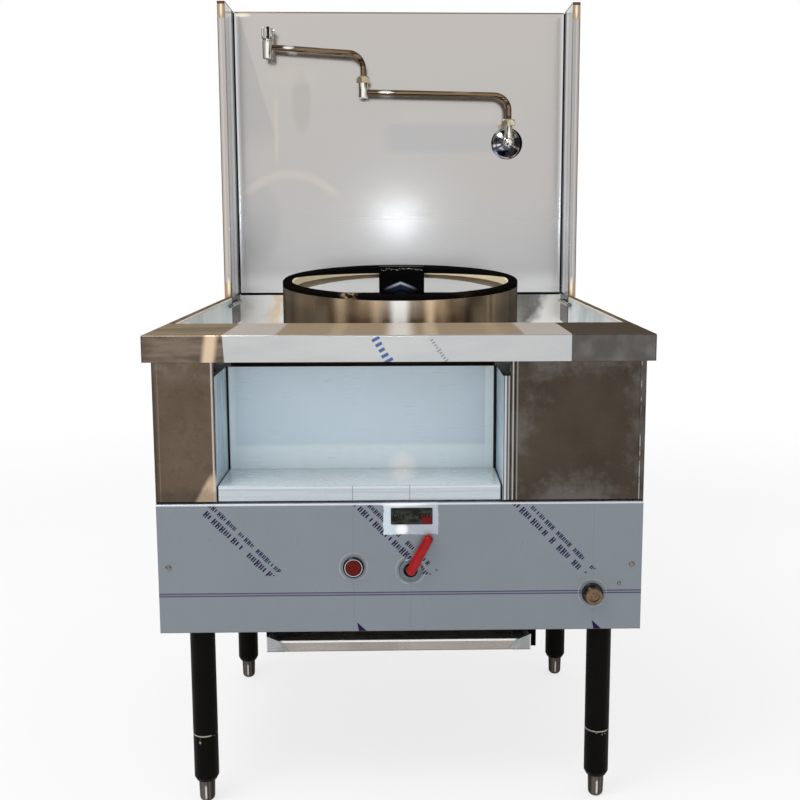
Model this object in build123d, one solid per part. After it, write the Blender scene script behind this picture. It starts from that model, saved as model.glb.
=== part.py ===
from build123d import *
import os
from math import cos, radians, sin

# Single-burner gas wok range in folded stainless sheet, in millimetres.
# +X is the cook's right, +Y points away from the cook, +Z is up. The origin is on the floor,
# under the middle of the outer box.

# ---- overall sizes ----
width = 750.0             # worktop, side to side
depth = 875.0             # fascia to the back of the splashback
rim_height = 740.0        # floor to the worktop rim
splash_height = 610.0     # rim to the top of the splashback
leg_height = 283.0        # floor to the underside of the cabinet

# ---- sheet metal ----
deck_sheet = 1.5
panel_sheet = 1.2
bend = 1.6                # radius of a fold, on the middle of the sheet
seam = 0.3                # gap left between two panels that butt

# ---- worktop ----
rim_width = 15.0          # flat rim beside the well
ledge_depth = 175.0       # flat ledge in front of the well
fascia_height = 40.0
fascia_return = 12.0
side_return = 6.0
well_depth = 95.0
well_corner = 8.0
well_floor_bend = 5.0
rim_bend = 3.0
upstand = 17.0            # strip behind the foot of the splashback

# ---- splashback ----
splash_fold = 22.0        # top edge folded to the back
splash_lip = 18.0
foot_gap = 1.2            # dark line between worktop and splashback, above the rim
foot_drop = 2.3           # and below it
corner_gap = 2.0          # dark line between wing and splashback
wing_depth = 114.0
wing_return = 20.0
wing_rear_flange = 25.0
wing_tab = 60.0           # part of each wing that hangs inside the well
tab_setback = 3.0
clamp_radius = 4.5        # smooth rod clamped along each tab
clamp_front = -50.0       # wing's front edge to the rod's front end
clamp_length = 134.0
clamp_drop = 13.5
clamp_end = 1.5
hole_clearance = 0.3

# ---- cabinet ----
body_inset = 9.5          # rim edge to the side of the cabinet
body_setback = 18.0       # fascia to the front panels
side_flange = {-1: 3.0, 1: 9.6}   # left and right side panels folded round to the front
screw_flange = 25.0
base_length = 600.0       # front panels to the foot of the raked back
rake_height = 237.0
control_height = 201.0
control_return = 12.0
control_gap = 4.0
base_flange = 28.0
drip_cutout_width = 300.0
drip_cutout_length = 330.0

# ---- open shelf in the front ----
niche_width = 426.0
niche_offset = -61.0      # middle of the shelf, from the middle of the cabinet
niche_depth = 110.0
niche_wall_drop = 64.0    # rim to the top edge of the back wall
niche_flange = 15.0
strip_width = 9.6         # bright strip right of the shelf
strip_return = 10.0
hem = 9.4
shelf_lip = 23.5

# ---- burner ----
burner_back = 430.0       # fascia to the burner's axis
ring_outer = 430.0
ring_width = 19.0         # outside to inside of the ring, seen from above
ring_plate = 8.5
ring_spigot = 8.0         # skirt that drops inside the collar
spigot_wall = 4.0
ring_rise = 57.6          # rim to the top of the ring, at its middle
ring_tilt = 4.4           # degrees, higher at the back
ring_seat = 0.3
ring_edge = 2.0
collar_sheet = 1.5
window_angle = 124.0      # opening at the back of the collar, degrees
window_head = 16.5        # rim to the top of the opening, on the burner's axis
window_tilt = 8.5         # degrees, top of the opening
window_sill = 48.0        # well floor to the opening
back_plate_width = 91.0
back_plate_offset = 2.0
back_plate_sheet = 5.0
back_plate_drop = 88.0
gable_width = 66.0
gable_rise = 14.0
gable_bar = 8.0
gable_reach = 9.0
gable_drop = 36.0         # top of the ring to the peak of the gable
bowl_wall = 7.0
bowl_flange = 6.0
bowl_seat = 15.0          # width of the bowl's flange
bowl_mouth = 98.0         # radius of the opening in its foot
bowl_drop = 62.0
bowl_clearance = 2.0
head_radius = 58.0
head_height = 16.0
jet_radius = 5.5
jet_height = 20.0
jet_bore = 2.0
inner_circle = 21.0       # radius of the inner circle of jets
outer_circle = 42.0
inner_jets = 5
outer_jets = 10
throat_radius = 17.0
bell_radius = 30.0
tube_wall = 3.0
venturi_height = 148.0
bell_height = 38.0        # bell mouth to the throat
throat_length = 12.0
tube_flare = 7.0          # outside of the tube, from throat to flange
bore_flare = 6.0
head_flange = 42.0
head_flange_sheet = 8.0
stand_width = 210.0
stand_depth = 70.0
stand_sheet = 3.0
stand_foot = 25.0         # edge of the opening to the end of the foot
stand_step = 3.0          # and to the fold at its ankle
pilot_angle = 205.0       # degrees round the burner, from +X
couple_angle = 165.0
pilot_circle = 80.0
pilot_radius = 6.0
pilot_height = 34.0
couple_radius = 3.0
couple_height = 36.0
injector_flats = 19.0
injector_height = 26.0
injector_gap = 8.0        # injector's tip to the bell mouth

# ---- gas pipes ----
inlet_pipe = 21.3
feed_pipe = 15.0
pilot_pipe = 6.0
pipe_wall = 1.8
pilot_wall = 0.8
pipe_bend = 26.0
inlet_x = -250.0
inlet_drop = 55.0         # underside of the well to the inlet pipe
inlet_thread = 13.2
inlet_thread_length = 17.0
inlet_turn = 182.0        # front panels to the pipe's drop
inlet_lift = 13.0         # base pan to the middle of the inlet pipe
feed_straight = 60.0      # valve's outlet to the feed pipe's first bend
feed_offset = 120.0       # and to its second
feed_drop = 34.0          # foot of the injector to the feed pipe's run
pilot_bend = 12.0
pilot_rise = 34.0         # valve's top nut to the pilot tube's run
pilot_straight = 110.0
pilot_offset = 190.0

# ---- controls ----
lever_x = 14.0
lever_up = 97.0           # underside of the cabinet to the lever's axis
lever_lean = 28.0         # degrees right of upright, where the gas is off
lever_axis_out = 10.0     # control panel to the middle of the grip
lever_length = 56.0
lever_rod = 4.5
grip_start = 2.0          # lever's axis to the middle of the grip's rounded foot
grip_radius = 7.2
washer_radius = 17.5
washer_sheet = 2.5
nozzle_radius = 11.0
nozzle_bore = 9.8
nozzle_recess = 10.0
hub_radius = 8.0
stem_radius = 4.0
stem_length = 40.0
running_fit = 0.05
valve_back = 45.0         # control panel to the valve's axis
valve_radius = 17.0
valve_up = 30.0
valve_down = 34.0
port_length = 30.0
union_flats = 30.0        # nut where the inlet pipe enters the valve
union_height = 13.0
top_nut_flats = 12.0
top_nut_height = 9.0
panel_hole_gap = 0.3
label_x = 16.0
label_top_gap = 7.5
label_width = 62.5
label_height = 25.4
label_sheet = 0.8
button_x = -72.0
button_up = 102.0
button_radius = 12.2
button_out = 9.0
button_stem = 3.0
button_stem_length = 30.0
stem_bore = 25.0
bezel_radius = 16.0
bezel_out = 5.0
bezel_barrel = 14.5
bezel_bore = 12.6
bezel_depth = 14.0
igniter_radius = 9.0
igniter_length = 56.0
plug_x = 291.0
plug_up = 57.5
plug_flats = 26.0
plug_head = 12.0
plug_ring_radius = 16.5
plug_ring_out = 4.0
plug_shank = 10.0
plug_depth = 14.0
plug_pin = 1.3
plug_pin_circle = 3.6
screw_x = 350.0
screw_up = 103.0
screw_head = 4.6
screw_shank = 2.5
rivet_x = 331.5
rivet_up = 73.0
rivet_head = 2.6

# ---- drip tray ----
runner_outer = 207.0      # half the distance over both runners
runner_width = 16.0
runner_height = 30.0
runner_sheet = 1.5
tray_length = 560.0
tray_half = 200.0
tray_shift = -4.0         # the tray sits against its left runner
tray_wall = 18.0
tray_front_half = 203.0
tray_front_drop = 7.0     # front plate below the tray's floor
tray_front_low = 16.5
tray_front_high = 25.0
tray_gusset = 20.0
tray_front_setback = 12.0
tray_clearance = 0.3

# ---- legs ----
leg_radius = 19.05
leg_wall = 1.5
leg_spread = 307.0        # middle of the cabinet to a leg's axis
front_leg_back = 44.0     # fascia to the front legs
rear_leg_back = 501.0
sleeve_height = 77.0
sleeve_lift = 36.0        # floor to the foot of the sleeve
sleeve_groove = 1.0
sleeve_chamfer = 3.0
foot_radius = 11.8
foot_sole = 8.0
foot_flare = 0.7          # the foot widens this much to its top
stud_radius = 6.0
stud_length = 40.0
leg_plate_side = 80.0
leg_plate_sheet = 4.0
leg_plate_shift = 24.0

# ---- swing tap ----
tap_x = 235.0
tap_up = 331.0            # rim to the wall elbow
tap_out = 40.0            # splashback to the vertical pipe
escutcheon_radius = 34.5
escutcheon_height = 11.0
elbow_radius = 10.0
elbow_ball = 12.0
neck_radius = 8.2
gland_up = 35.0           # elbow's axis to the gland nut
gland_height = 13.0
gland_flats = 27.0
tap_thread = 10.5
tap_thread_length = 16.5
tap_thread_gap = 3.5      # splashback to the thread
arm_seat = 14.0           # elbow's axis to the end of the lower arm
seat_floor = 2.0          # and to the floor of its bore, below
arm_radius = 6.0
arm_wall = 1.2
arm_bend = 32.0
arm_rise = 98.7          # elbow's axis to the lower arm
lower_reach = 313.5
lower_slope = 1.15        # degrees
mid_radius = 10.2
mid_height = 30.0
mid_below = 11.5          # lower arm's axis to the foot of the middle joint
mid_floor = 5.0
mid_nut_flats = 26.0
mid_nut_height = 14.0
upper_rise = 80.0         # lower arm to upper arm
upper_reach = 203.0
upper_slope = 3.7
outlet_radius = 10.8
outlet_waist = 1.4        # depth of the groove under the knob
outlet_below = 24.5       # upper arm's end to the foot of the outlet
outlet_above = 16.0
outlet_bore = 7.0
knob_radius = 12.2
knob_height = 26.0
knob_gap = 0.4
nib_radius = 2.2           # short handle on the knob
nib_reach = 16.0
spindle_radius = 4.0
spindle_length = 12.0

# ---- places that follow ----
half = width / 2
front = -depth / 2
rear = depth / 2
splash_face = rear - splash_fold
splash_back = splash_face + panel_sheet
tray_rear = splash_face + deck_sheet
splash_top = rim_height + splash_height
wing_front = splash_face - wing_depth
well_half = half - rim_width
well_front = front + ledge_depth
well_floor = rim_height - well_depth
deck_under = rim_height - deck_sheet
body_half = half - body_inset
panel_front = front + body_setback
panel_back = panel_front + panel_sheet
base_rear = panel_front + base_length
cabinet_rear = tray_rear + panel_sheet
control_top = leg_height + control_height
base_floor = leg_height + panel_sheet
base_top = base_floor + deck_sheet
niche_left = niche_offset - niche_width / 2
niche_right = niche_offset + niche_width / 2
niche_back = panel_front + niche_depth
shelf_top = control_top + control_gap + shelf_lip
burner_y = front + burner_back
ring_inner = ring_outer - 2 * ring_width
collar_outer = ring_outer / 2
collar_inner = collar_outer - collar_sheet
head_top = well_floor + bowl_flange - bowl_drop - bowl_wall
head_foot = head_top - head_height
stand_top = head_foot - head_flange_sheet
bell_foot = head_foot - venturi_height
tap_y = splash_face - tap_out
tap_z = rim_height + tap_up
arm_z = tap_z + arm_rise
lever_z = leg_height + lever_up
runner_ledge = leg_height - runner_height + runner_sheet
legs = {
    "front_left": (-leg_spread, front + front_leg_back),
    "front_right": (leg_spread, front + front_leg_back),
    "rear_left": (-leg_spread, front + rear_leg_back),
    "rear_right": (leg_spread, front + rear_leg_back),
}


# ---- helpers ----
def slab(x, y, z):
    # box between three pairs of low and high
    centre = [(pair[0] + pair[1]) / 2 for pair in (x, y, z)]
    return Pos(*centre) * Box(x[1] - x[0], y[1] - y[0], z[1] - z[0])


def rod(start, direction, radius, length):
    # round bar from a point, along a direction
    return extrude(Plane(origin=start, z_dir=direction) * Circle(radius), length)


def hex_bar(start, direction, flats, length, turn=0.0):
    # hexagonal bar with its corners chamfered at the far end
    base = Plane(origin=start, z_dir=direction)
    bar = extrude(base * (Rot(0, 0, turn) * RegularPolygon(flats / 2, 6, major_radius=False)), length)
    crown = base * Cone(flats * 0.72, flats * 0.47, length * 0.9,
                        align=(Align.CENTER, Align.CENTER, Align.MIN))
    foot = extrude(base * Circle(flats), length * 0.55)
    return bar & (foot + Pos(*(Vector(*direction) * (length * 0.1))) * crown)


def turned(points, x, y):
    # solid turned about an upright axis, from (radius, height) points
    face = Plane.XZ * make_face(Polyline(*points, close=True))
    return Pos(x, y, 0) * revolve(face, Axis.Z)


def folded(points, sheet, plane, length):
    # folded sheet: the middle line of its section, thickened and extruded
    section = plane * trace(FilletPolyline(*points, radius=bend), line_width=sheet)
    return extrude(section, length)


def pipe(points, outer, wall, radius):
    # bent tube
    route = FilletPolyline(*points, radius=radius)
    ring = Plane(origin=route @ 0, z_dir=route % 0) * (Circle(outer / 2) - Circle(outer / 2 - wall))
    return sweep(ring, path=route)


def rounded_top(x, y, z, radius):
    # block with its front corners and its top edges rounded, the rear edge left sharp
    block = slab(x, y, z)
    block = fillet(block.edges().filter_by(Axis.Z).group_by(Axis.Y)[0], radius)
    top = block.faces().sort_by(Axis.Z)[-1]
    return fillet([edge for edge in top.edges() if edge.center().Y < y[1] - radius], radius)


def basin(x, y, z, corner, floor):
    # block with its front corners and its floor edges rounded, the rear corners left sharp
    block = slab(x, y, z)
    block = fillet(block.edges().filter_by(Axis.Z).group_by(Axis.Y)[0], corner)
    return fillet(block.faces().sort_by(Axis.Z)[0].edges(), floor)


# ---- worktop and splashback ----
def worktop():
    skirt = (rim_height - fascia_height, rim_height)
    outside = rounded_top((-half, half), (front, tray_rear), skirt, rim_bend)
    inside = rounded_top((-half + deck_sheet, half - deck_sheet), (front + deck_sheet, splash_face),
                         (skirt[0] + deck_sheet, deck_under), rim_bend - deck_sheet)
    mouth = slab((-half + side_return, half - side_return), (front + fascia_return, splash_face),
                 (skirt[0], skirt[0] + deck_sheet))
    pan_outside = basin((-well_half - deck_sheet, well_half + deck_sheet),
                        (well_front - deck_sheet, tray_rear), (well_floor - deck_sheet, deck_under),
                        well_corner + deck_sheet, well_floor_bend + deck_sheet)
    pan_inside = basin((-well_half, well_half), (well_front, splash_face), (well_floor, rim_height),
                       well_corner, well_floor_bend)
    deck = outside - inside - mouth + pan_outside - pan_inside
    top = deck.faces().filter_by(Axis.Z).sort_by(Axis.Z)[-1]
    rolled = [edge for edge in top.inner_wires()[0].edges() if edge.center().Y < splash_face - 1]
    deck = fillet(rolled, rim_bend - 1)
    deck -= slab((-well_half, well_half), (splash_face - 1, tray_rear + 1),
                 (rim_height - foot_drop, rim_height + 1))
    strip_half = well_half - panel_sheet - seam
    deck += slab((-strip_half, strip_half), (splash_back, splash_back + deck_sheet),
                 (rim_height - upstand, rim_height + upstand))
    deck -= Pos(0, burner_y, 0) * extrude(Circle(bowl_outer() + bowl_clearance), rim_height)
    return deck


def splashback():
    middle = panel_sheet / 2
    panel = folded([(splash_face + middle, rim_height + foot_gap), (splash_face + middle, splash_top - middle),
                    (rear - middle, splash_top - middle), (rear - middle, splash_top - splash_lip)],
                   panel_sheet, Plane.YZ, 1)
    reach = well_half - panel_sheet - corner_gap
    panel = extrude(Pos(-reach, 0, 0) * panel.faces().sort_by(Axis.X)[0], 2 * reach, dir=(1, 0, 0))
    return panel - rod((tap_x, rear, tap_z), (0, -1, 0), tap_thread + hole_clearance, depth)


def wing(side):
    middle = panel_sheet / 2
    outer = side * (half - middle)
    inner = side * (well_half - middle)
    plan = [(outer, wing_front + wing_return), (outer, wing_front + middle), (inner, wing_front + middle),
            (inner, splash_back + middle), (inner - side * wing_rear_flange, splash_back + middle)]
    skin = folded(plan, panel_sheet, Plane.XY.offset(rim_height), splash_height)
    cap = slab(sorted((outer, inner)), (wing_front + middle, splash_back), (splash_top - panel_sheet, splash_top))
    tab = slab(sorted((side * well_half, side * (well_half - panel_sheet))),
               (wing_front + tab_setback, splash_face - tab_setback),
               (rim_height - wing_tab, rim_height + rim_bend))
    behind = (splash_back - seam, rear)
    skin -= slab((-well_half, well_half), behind, (rim_height, rim_height + upstand + seam))
    skin -= slab((-well_half + panel_sheet, well_half - panel_sheet), behind,
                 (splash_top - panel_sheet - bend, splash_top))
    return skin + cap + tab


def wing_clamps():
    # polished rod along the foot of each wing, inside the well
    rods = []
    for side in (-1, 1):
        centre = side * (well_half - panel_sheet - clamp_radius)
        start = (centre, wing_front + clamp_front, rim_height - clamp_drop)
        bar = rod(start, (0, 1, 0), clamp_radius, clamp_length)
        rods.append(chamfer(bar.edges().filter_by(GeomType.CIRCLE), clamp_end))
    return Compound(children=[Part(bar.wrapped) for bar in rods])


# ---- cabinet ----
def cabinet_outline(across):
    # side view of the cabinet: notched at the control panel, raked at the back
    corners = [(panel_back, leg_height), (base_rear, leg_height), (cabinet_rear, leg_height + rake_height),
               (cabinet_rear, rim_height - fascia_height - 2), (splash_face - 2, rim_height - fascia_height - 2),
               (splash_face - 2, deck_under), (panel_front, deck_under),
               (panel_front, control_top + control_gap), (panel_back, control_top + control_gap)]
    return extrude(Plane.YZ * make_face(Polyline(*corners, close=True)), across, both=True)


def side_panel(side):
    middle = panel_sheet / 2
    edge = side * (body_half - middle)
    plan = [(side * (body_half - side_flange[side]), panel_front + middle), (edge, panel_front + middle),
            (edge, cabinet_rear)]
    panel = folded(plan, panel_sheet, Plane.XY.offset(leg_height), deck_under - leg_height)
    panel &= cabinet_outline(body_half)
    panel += slab(sorted((side * (body_half - screw_flange), side * (body_half - panel_sheet))),
                  (panel_back, panel_back + panel_sheet),
                  (base_top + base_flange, control_top - control_return))
    panel -= rod((side * screw_x, front, leg_height + screw_up), (0, 1, 0), screw_shank + panel_hole_gap,
                 2 * body_setback)
    return panel - pipe_hole() if side < 0 else panel


def pipe_hole():
    return rod((inlet_x, rear, well_floor - inlet_drop), (0, -1, 0), inlet_pipe / 2 + 1.5, depth / 2)


def rear_panel():
    # raked sheet between the side panels, upright above the rake
    route = Polyline((base_rear, leg_height), (cabinet_rear, leg_height + rake_height),
                     (cabinet_rear, rim_height - fascia_height - 2))
    sheet = extrude(Plane.YZ * trace(route, line_width=2 * panel_sheet), body_half - panel_sheet, both=True)
    return (sheet & cabinet_outline(body_half)) - pipe_hole()


def base_pan():
    middle = deck_sheet / 2
    route = [(panel_back + middle, base_top + base_flange), (panel_back + middle, base_floor + middle),
             (base_rear - 3, base_floor + middle)]
    reach = body_half - panel_sheet - bend
    pan = extrude(Plane.YZ * trace(FilletPolyline(*route, radius=bend), line_width=deck_sheet), reach, both=True)
    return pan - slab((-drip_cutout_width / 2, drip_cutout_width / 2),
                      (burner_y - drip_cutout_length / 2, burner_y + drip_cutout_length / 2),
                      (leg_height - 1, base_top + 1))


def left_front_panel():
    middle = panel_sheet / 2
    edge = niche_left - middle
    back = panel_front + middle + 2 * panel_sheet
    plan = [(-body_half + side_flange[-1] + seam, panel_front + middle), (edge, panel_front + middle),
            (edge, back), (edge - hem, back)]
    section = trace(FilletPolyline(*plan, radius=0.95 * panel_sheet), line_width=panel_sheet)
    low = control_top + control_gap
    return extrude(Plane.XY.offset(low) * section, deck_under - low)


def right_front_panel():
    middle = panel_sheet / 2
    edge = niche_right + strip_width + panel_sheet + middle + seam
    plan = [(edge, panel_front + strip_return), (edge, panel_front + middle),
            (body_half - side_flange[1] - seam, panel_front + middle)]
    low = control_top + control_gap
    return folded(plan, panel_sheet, Plane.XY.offset(low), deck_under - low)


def niche_liner():
    # back and side walls of the open shelf, in one strip of sheet
    middle = panel_sheet / 2
    left, right = niche_left - middle, niche_right + middle
    behind_hem = panel_front + middle + 3 * panel_sheet
    strip = niche_right + strip_width + middle
    plan = [(left - niche_flange, behind_hem), (left, behind_hem), (left, niche_back + middle),
            (right, niche_back + middle), (right, panel_front + middle), (strip, panel_front + middle),
            (strip, panel_front + strip_return)]
    low = control_top + control_gap
    return folded(plan, panel_sheet, Plane.XY.offset(low), rim_height - niche_wall_drop - low)


def niche_shelf():
    middle = panel_sheet / 2
    route = [(panel_front + control_return, shelf_top - shelf_lip + middle),
             (panel_front + middle, shelf_top - shelf_lip + middle), (panel_front + middle, shelf_top - middle),
             (niche_back - bend, shelf_top - middle)]
    reach = niche_width / 2 - seam
    section = Plane.YZ.offset(niche_offset) * trace(FilletPolyline(*route, radius=bend), line_width=panel_sheet)
    return extrude(section, reach, both=True)


def control_panel():
    middle = panel_sheet / 2
    back = panel_front + control_return
    route = [(back, leg_height + middle), (panel_front + middle, leg_height + middle),
             (panel_front + middle, control_top - middle), (back, control_top - middle)]
    panel = extrude(Plane.YZ * trace(FilletPolyline(*route, radius=bend), line_width=panel_sheet),
                    body_half, both=True)
    holes = [(lever_x, lever_up, nozzle_radius), (button_x, button_up, bezel_barrel),
             (plug_x, plug_up, plug_shank), (-screw_x, screw_up, screw_shank), (screw_x, screw_up, screw_shank),
             (rivet_x, rivet_up, screw_shank)]
    for x, up, radius in holes:
        panel -= rod((x, front, leg_height + up), (0, 1, 0), radius + panel_hole_gap, body_setback + 10)
    for side in (-1, 1):
        panel -= slab(sorted((side * (body_half - panel_sheet - bend), side * half)), (panel_back, back + 1),
                      (leg_height - 1, control_top + 1))
    for x, y in legs.values():
        panel -= rod((x, y, leg_height - 1), (0, 0, 1), leg_radius + seam, panel_sheet + 2)
    return panel


def panel_screws():
    # two cross-head screws and one blind rivet
    fixings = []
    for x in (-screw_x, screw_x):
        centre = (x, panel_front, leg_height + screw_up)
        head = revolve(Plane.XY * make_face(Polyline((0, -2.6), (2.2, -2.4), (screw_head - 0.8, -1.4),
                                                     (screw_head, 0), (0, 0), close=True)), Axis.Y)
        cross = Box(0.9, 3, 5) + Box(5, 3, 0.9)
        shank = rod((0, 0, 0), (0, 1, 0), screw_shank, 9)
        fixings.append(Pos(*centre) * (head + shank - Pos(0, -2.6, 0) * cross))
    centre = (rivet_x, panel_front, leg_height + rivet_up)
    dome = Sphere(rivet_head) & slab((-5, 5), (-5, 0), (-5, 5))
    fixings.append(Pos(*centre) * (dome + rod((0, 0, 0), (0, 1, 0), screw_shank, 5)))
    return Compound(children=[Part(item.wrapped) for item in fixings])


# ---- burner ----
def bowl_outer():
    # widest radius of the bowl below its flange
    return collar_inner - bowl_seat


def ring_place():
    # the ring's own place: its top middle, tipped up at the back
    return Plane(origin=(0, burner_y, rim_height + ring_rise), x_dir=(1, 0, 0),
                 z_dir=(0, -sin(radians(ring_tilt)), cos(radians(ring_tilt))))


def wok_ring():
    inner, outer = ring_inner / 2, ring_outer / 2
    drop = ring_plate + ring_spigot
    outline = [(inner, -ring_edge * 2), (inner + ring_edge * 2, 0), (outer - ring_edge, 0),
               (outer, -ring_edge), (outer, -ring_plate), (inner + spigot_wall, -ring_plate),
               (inner + spigot_wall, -drop), (inner, -drop)]
    ring = revolve(Plane.XZ * make_face(Polyline(*outline, close=True)), Axis.Z)
    return ring_place() * ring


def ring_collar():
    # upright tube, cut level with the ring, with a wide opening at the back
    low, high = well_floor, rim_height + ring_rise + ring_outer
    tube = Pos(0, burner_y, low) * (
        Cylinder(collar_outer, high - low, align=(Align.CENTER, Align.CENTER, Align.MIN))
        - Cylinder(collar_inner, high - low, align=(Align.CENTER, Align.CENTER, Align.MIN)))
    above = ring_place() * (Pos(0, 0, -ring_plate - ring_seat) * Box(
        2 * ring_outer, 2 * ring_outer, 2 * ring_outer, align=(Align.CENTER, Align.CENTER, Align.MIN)))
    reach = 2 * ring_outer
    spread = window_angle / 2
    wedge = make_face(Polyline((0, 0), (-reach * sin(radians(spread)), reach * cos(radians(spread))),
                               (0, 2 * reach), (reach * sin(radians(spread)), reach * cos(radians(spread))),
                               close=True))
    window = Pos(0, burner_y, low + window_sill) * extrude(wedge, high - low)
    kept = Pos(0, burner_y, rim_height + window_head) * Rot(window_tilt, 0, 0) * Box(
        2 * reach, 2 * reach, reach, align=(Align.CENTER, Align.CENTER, Align.MIN))
    return tube - above - (window - kept)


def ring_back_plate():
    # black plate welded inside the back of the ring, with a folded gable across its face
    inner = ring_inner / 2
    face = inner - back_plate_sheet - 7
    slab_x = (back_plate_offset - back_plate_width / 2, back_plate_offset + back_plate_width / 2)
    plate = slab(slab_x, (face, inner), (-back_plate_drop, 0))
    plate &= Pos(0, 0, -back_plate_drop / 2) * Cylinder(inner, 2 * back_plate_drop)
    wide, high = gable_width / 2, gable_rise
    gable = Polyline((-wide, -high), (0, 0), (wide, -high), (wide, -high - gable_bar), (0, -gable_bar),
                     (-wide, -high - gable_bar), close=True)
    ridge = extrude(Plane.XZ * make_face(gable), gable_reach)
    return ring_place() * (plate + Pos(0, face, -gable_drop) * ridge)


def burner_bowl():
    # cast bowl hung by its flange on the floor of the well
    outer, top = bowl_outer(), well_floor + bowl_flange
    lip = collar_inner - bowl_clearance
    foot = top - bowl_drop
    inside = ThreePointArc((outer - bowl_wall, top), ((outer + bowl_mouth) * 0.52, top - bowl_drop * 0.62),
                           (bowl_mouth, foot))
    outside = ThreePointArc((bowl_mouth, foot - bowl_wall),
                            ((outer + bowl_mouth) * 0.55, top - bowl_drop * 0.78), (outer, well_floor))
    section = make_face(Curve() + [inside, Line((bowl_mouth, foot), (bowl_mouth, foot - bowl_wall)), outside,
                                   Line((outer, well_floor), (lip, well_floor)),
                                   Line((lip, well_floor), (lip, top)),
                                   Line((lip, top), (outer - bowl_wall, top))])
    return Pos(0, burner_y, 0) * revolve(Plane.XZ * section, Axis.Z)


def burner_head():
    # round gas box with rings of jets on its top
    box = turned([(0, head_foot), (head_radius - 6, head_foot), (head_radius, head_foot + 5),
                  (head_radius, head_top - 3), (head_radius - 3, head_top), (0, head_top)], 0, burner_y)
    box -= Pos(0, burner_y, head_foot) * Cylinder(throat_radius + 8, head_height - 4,
                                                  align=(Align.CENTER, Align.CENTER, Align.MIN))
    jet = (Cone(jet_radius, jet_radius * 0.62, jet_height, align=(Align.CENTER, Align.CENTER, Align.MIN))
           - Cylinder(jet_bore, 2 * jet_height))
    for circle, count in ((0, 1), (inner_circle, inner_jets), (outer_circle, outer_jets)):
        for number in range(count):
            turn = radians(360 * number / count)
            box += Pos(circle * cos(turn), burner_y + circle * sin(turn), head_top) * jet
    return box


def mixing_tube():
    # venturi between the injector and the burner head
    bell, throat, wall = bell_radius, throat_radius, tube_wall
    low, high = bell_foot, head_foot
    seat = high - head_flange_sheet
    narrow = low + bell_height
    wide = narrow + throat_length
    return turned([(bell, low), (bell + wall, low), (bell + wall, low + 4), (throat + wall, narrow),
                   (throat + wall, wide), (throat + wall + tube_flare, seat), (head_flange, seat),
                   (head_flange, high), (throat + bore_flare, high), (throat, wide), (throat, narrow),
                   (bell, low + 3)], 0, burner_y)


def burner_stand():
    # bridge that carries the venturi over the opening in the base
    wide, deep = stand_width / 2, stand_depth / 2
    foot = base_top
    reach = drip_cutout_width / 2 + stand_foot
    ankle = drip_cutout_width / 2 + stand_step
    middle = stand_sheet / 2
    route = [(-reach, foot + middle), (-ankle, foot + middle), (-wide, stand_top - middle),
             (wide, stand_top - middle), (ankle, foot + middle), (reach, foot + middle)]
    section = trace(FilletPolyline(*route, radius=4 * stand_sheet), line_width=stand_sheet)
    strap = Plane.XZ.offset(-burner_y) * section
    bridge = extrude(strap, deep, both=True)
    bridge -= Pos(0, burner_y, 0) * extrude(Circle(throat_radius + tube_wall + 9), head_foot)
    return bridge


def round_place(angle):
    return (pilot_circle * cos(radians(angle)), burner_y + pilot_circle * sin(radians(angle)))


def pilot_burner():
    x, y = round_place(pilot_angle)
    base = hex_bar((x, y, stand_top), (0, 0, 1), 2 * pilot_radius + 4, 10)
    tube = rod((x, y, stand_top + 9), (0, 0, 1), pilot_radius, pilot_height)
    hood = rod((x, y, stand_top + 9 + pilot_height - 12), (1, 0, 0), 3.5, pilot_radius + 6)
    return base + tube + hood - rod((x, y, stand_top + 20), (0, 0, 1), pilot_radius - 2, pilot_height)


def thermocouple():
    x, y = round_place(couple_angle)
    nut = hex_bar((x, y, stand_top), (0, 0, 1), 2 * couple_radius + 5, 8)
    tip = rod((x, y, stand_top + 8), (0, 0, 1), couple_radius, couple_height)
    return fillet((nut + tip).edges().sort_by(Axis.Z)[-1], couple_radius * 0.6)


def gas_injector():
    top = bell_foot - injector_gap
    low = top - injector_height
    body = hex_bar((0, burner_y, low), (0, 0, 1), injector_flats, injector_height * 0.6)
    nose = Pos(0, burner_y, low + injector_height * 0.6) * Cone(
        injector_flats * 0.4, 3, injector_height * 0.4, align=(Align.CENTER, Align.CENTER, Align.MIN))
    return body + nose - rod((0, burner_y, low), (0, 0, 1), 1.2, injector_height)


# ---- gas pipes ----
def gas_inlet_pipe():
    # threaded stub at the back, round the shelf recess and up into the valve
    high = well_floor - inlet_drop
    low = base_top + inlet_lift
    turn = panel_front + inlet_turn
    valve_y = panel_front + valve_back
    foot = lever_z - valve_down + 1 - union_height
    stub = rear - inlet_thread_length
    tube = pipe([(inlet_x, stub, high), (inlet_x, turn, high), (inlet_x, turn, low), (lever_x, turn, low),
                 (lever_x, valve_y, low), (lever_x, valve_y, foot)], inlet_pipe, pipe_wall, pipe_bend)
    thread = rod((inlet_x, stub, high), (0, 1, 0), inlet_thread, inlet_thread_length)
    return tube + (thread - rod((inlet_x, stub, high), (0, 1, 0), inlet_pipe / 2 - pipe_wall, depth))


def gas_feed_pipe():
    start = panel_front + valve_back + port_length
    low = bell_foot - injector_gap - injector_height
    run = low - feed_drop
    return pipe([(lever_x, start, lever_z), (lever_x, start + feed_straight, lever_z),
                 (0, start + feed_offset, run), (0, burner_y, run), (0, burner_y, low)],
                feed_pipe, pipe_wall, pipe_bend)


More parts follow.
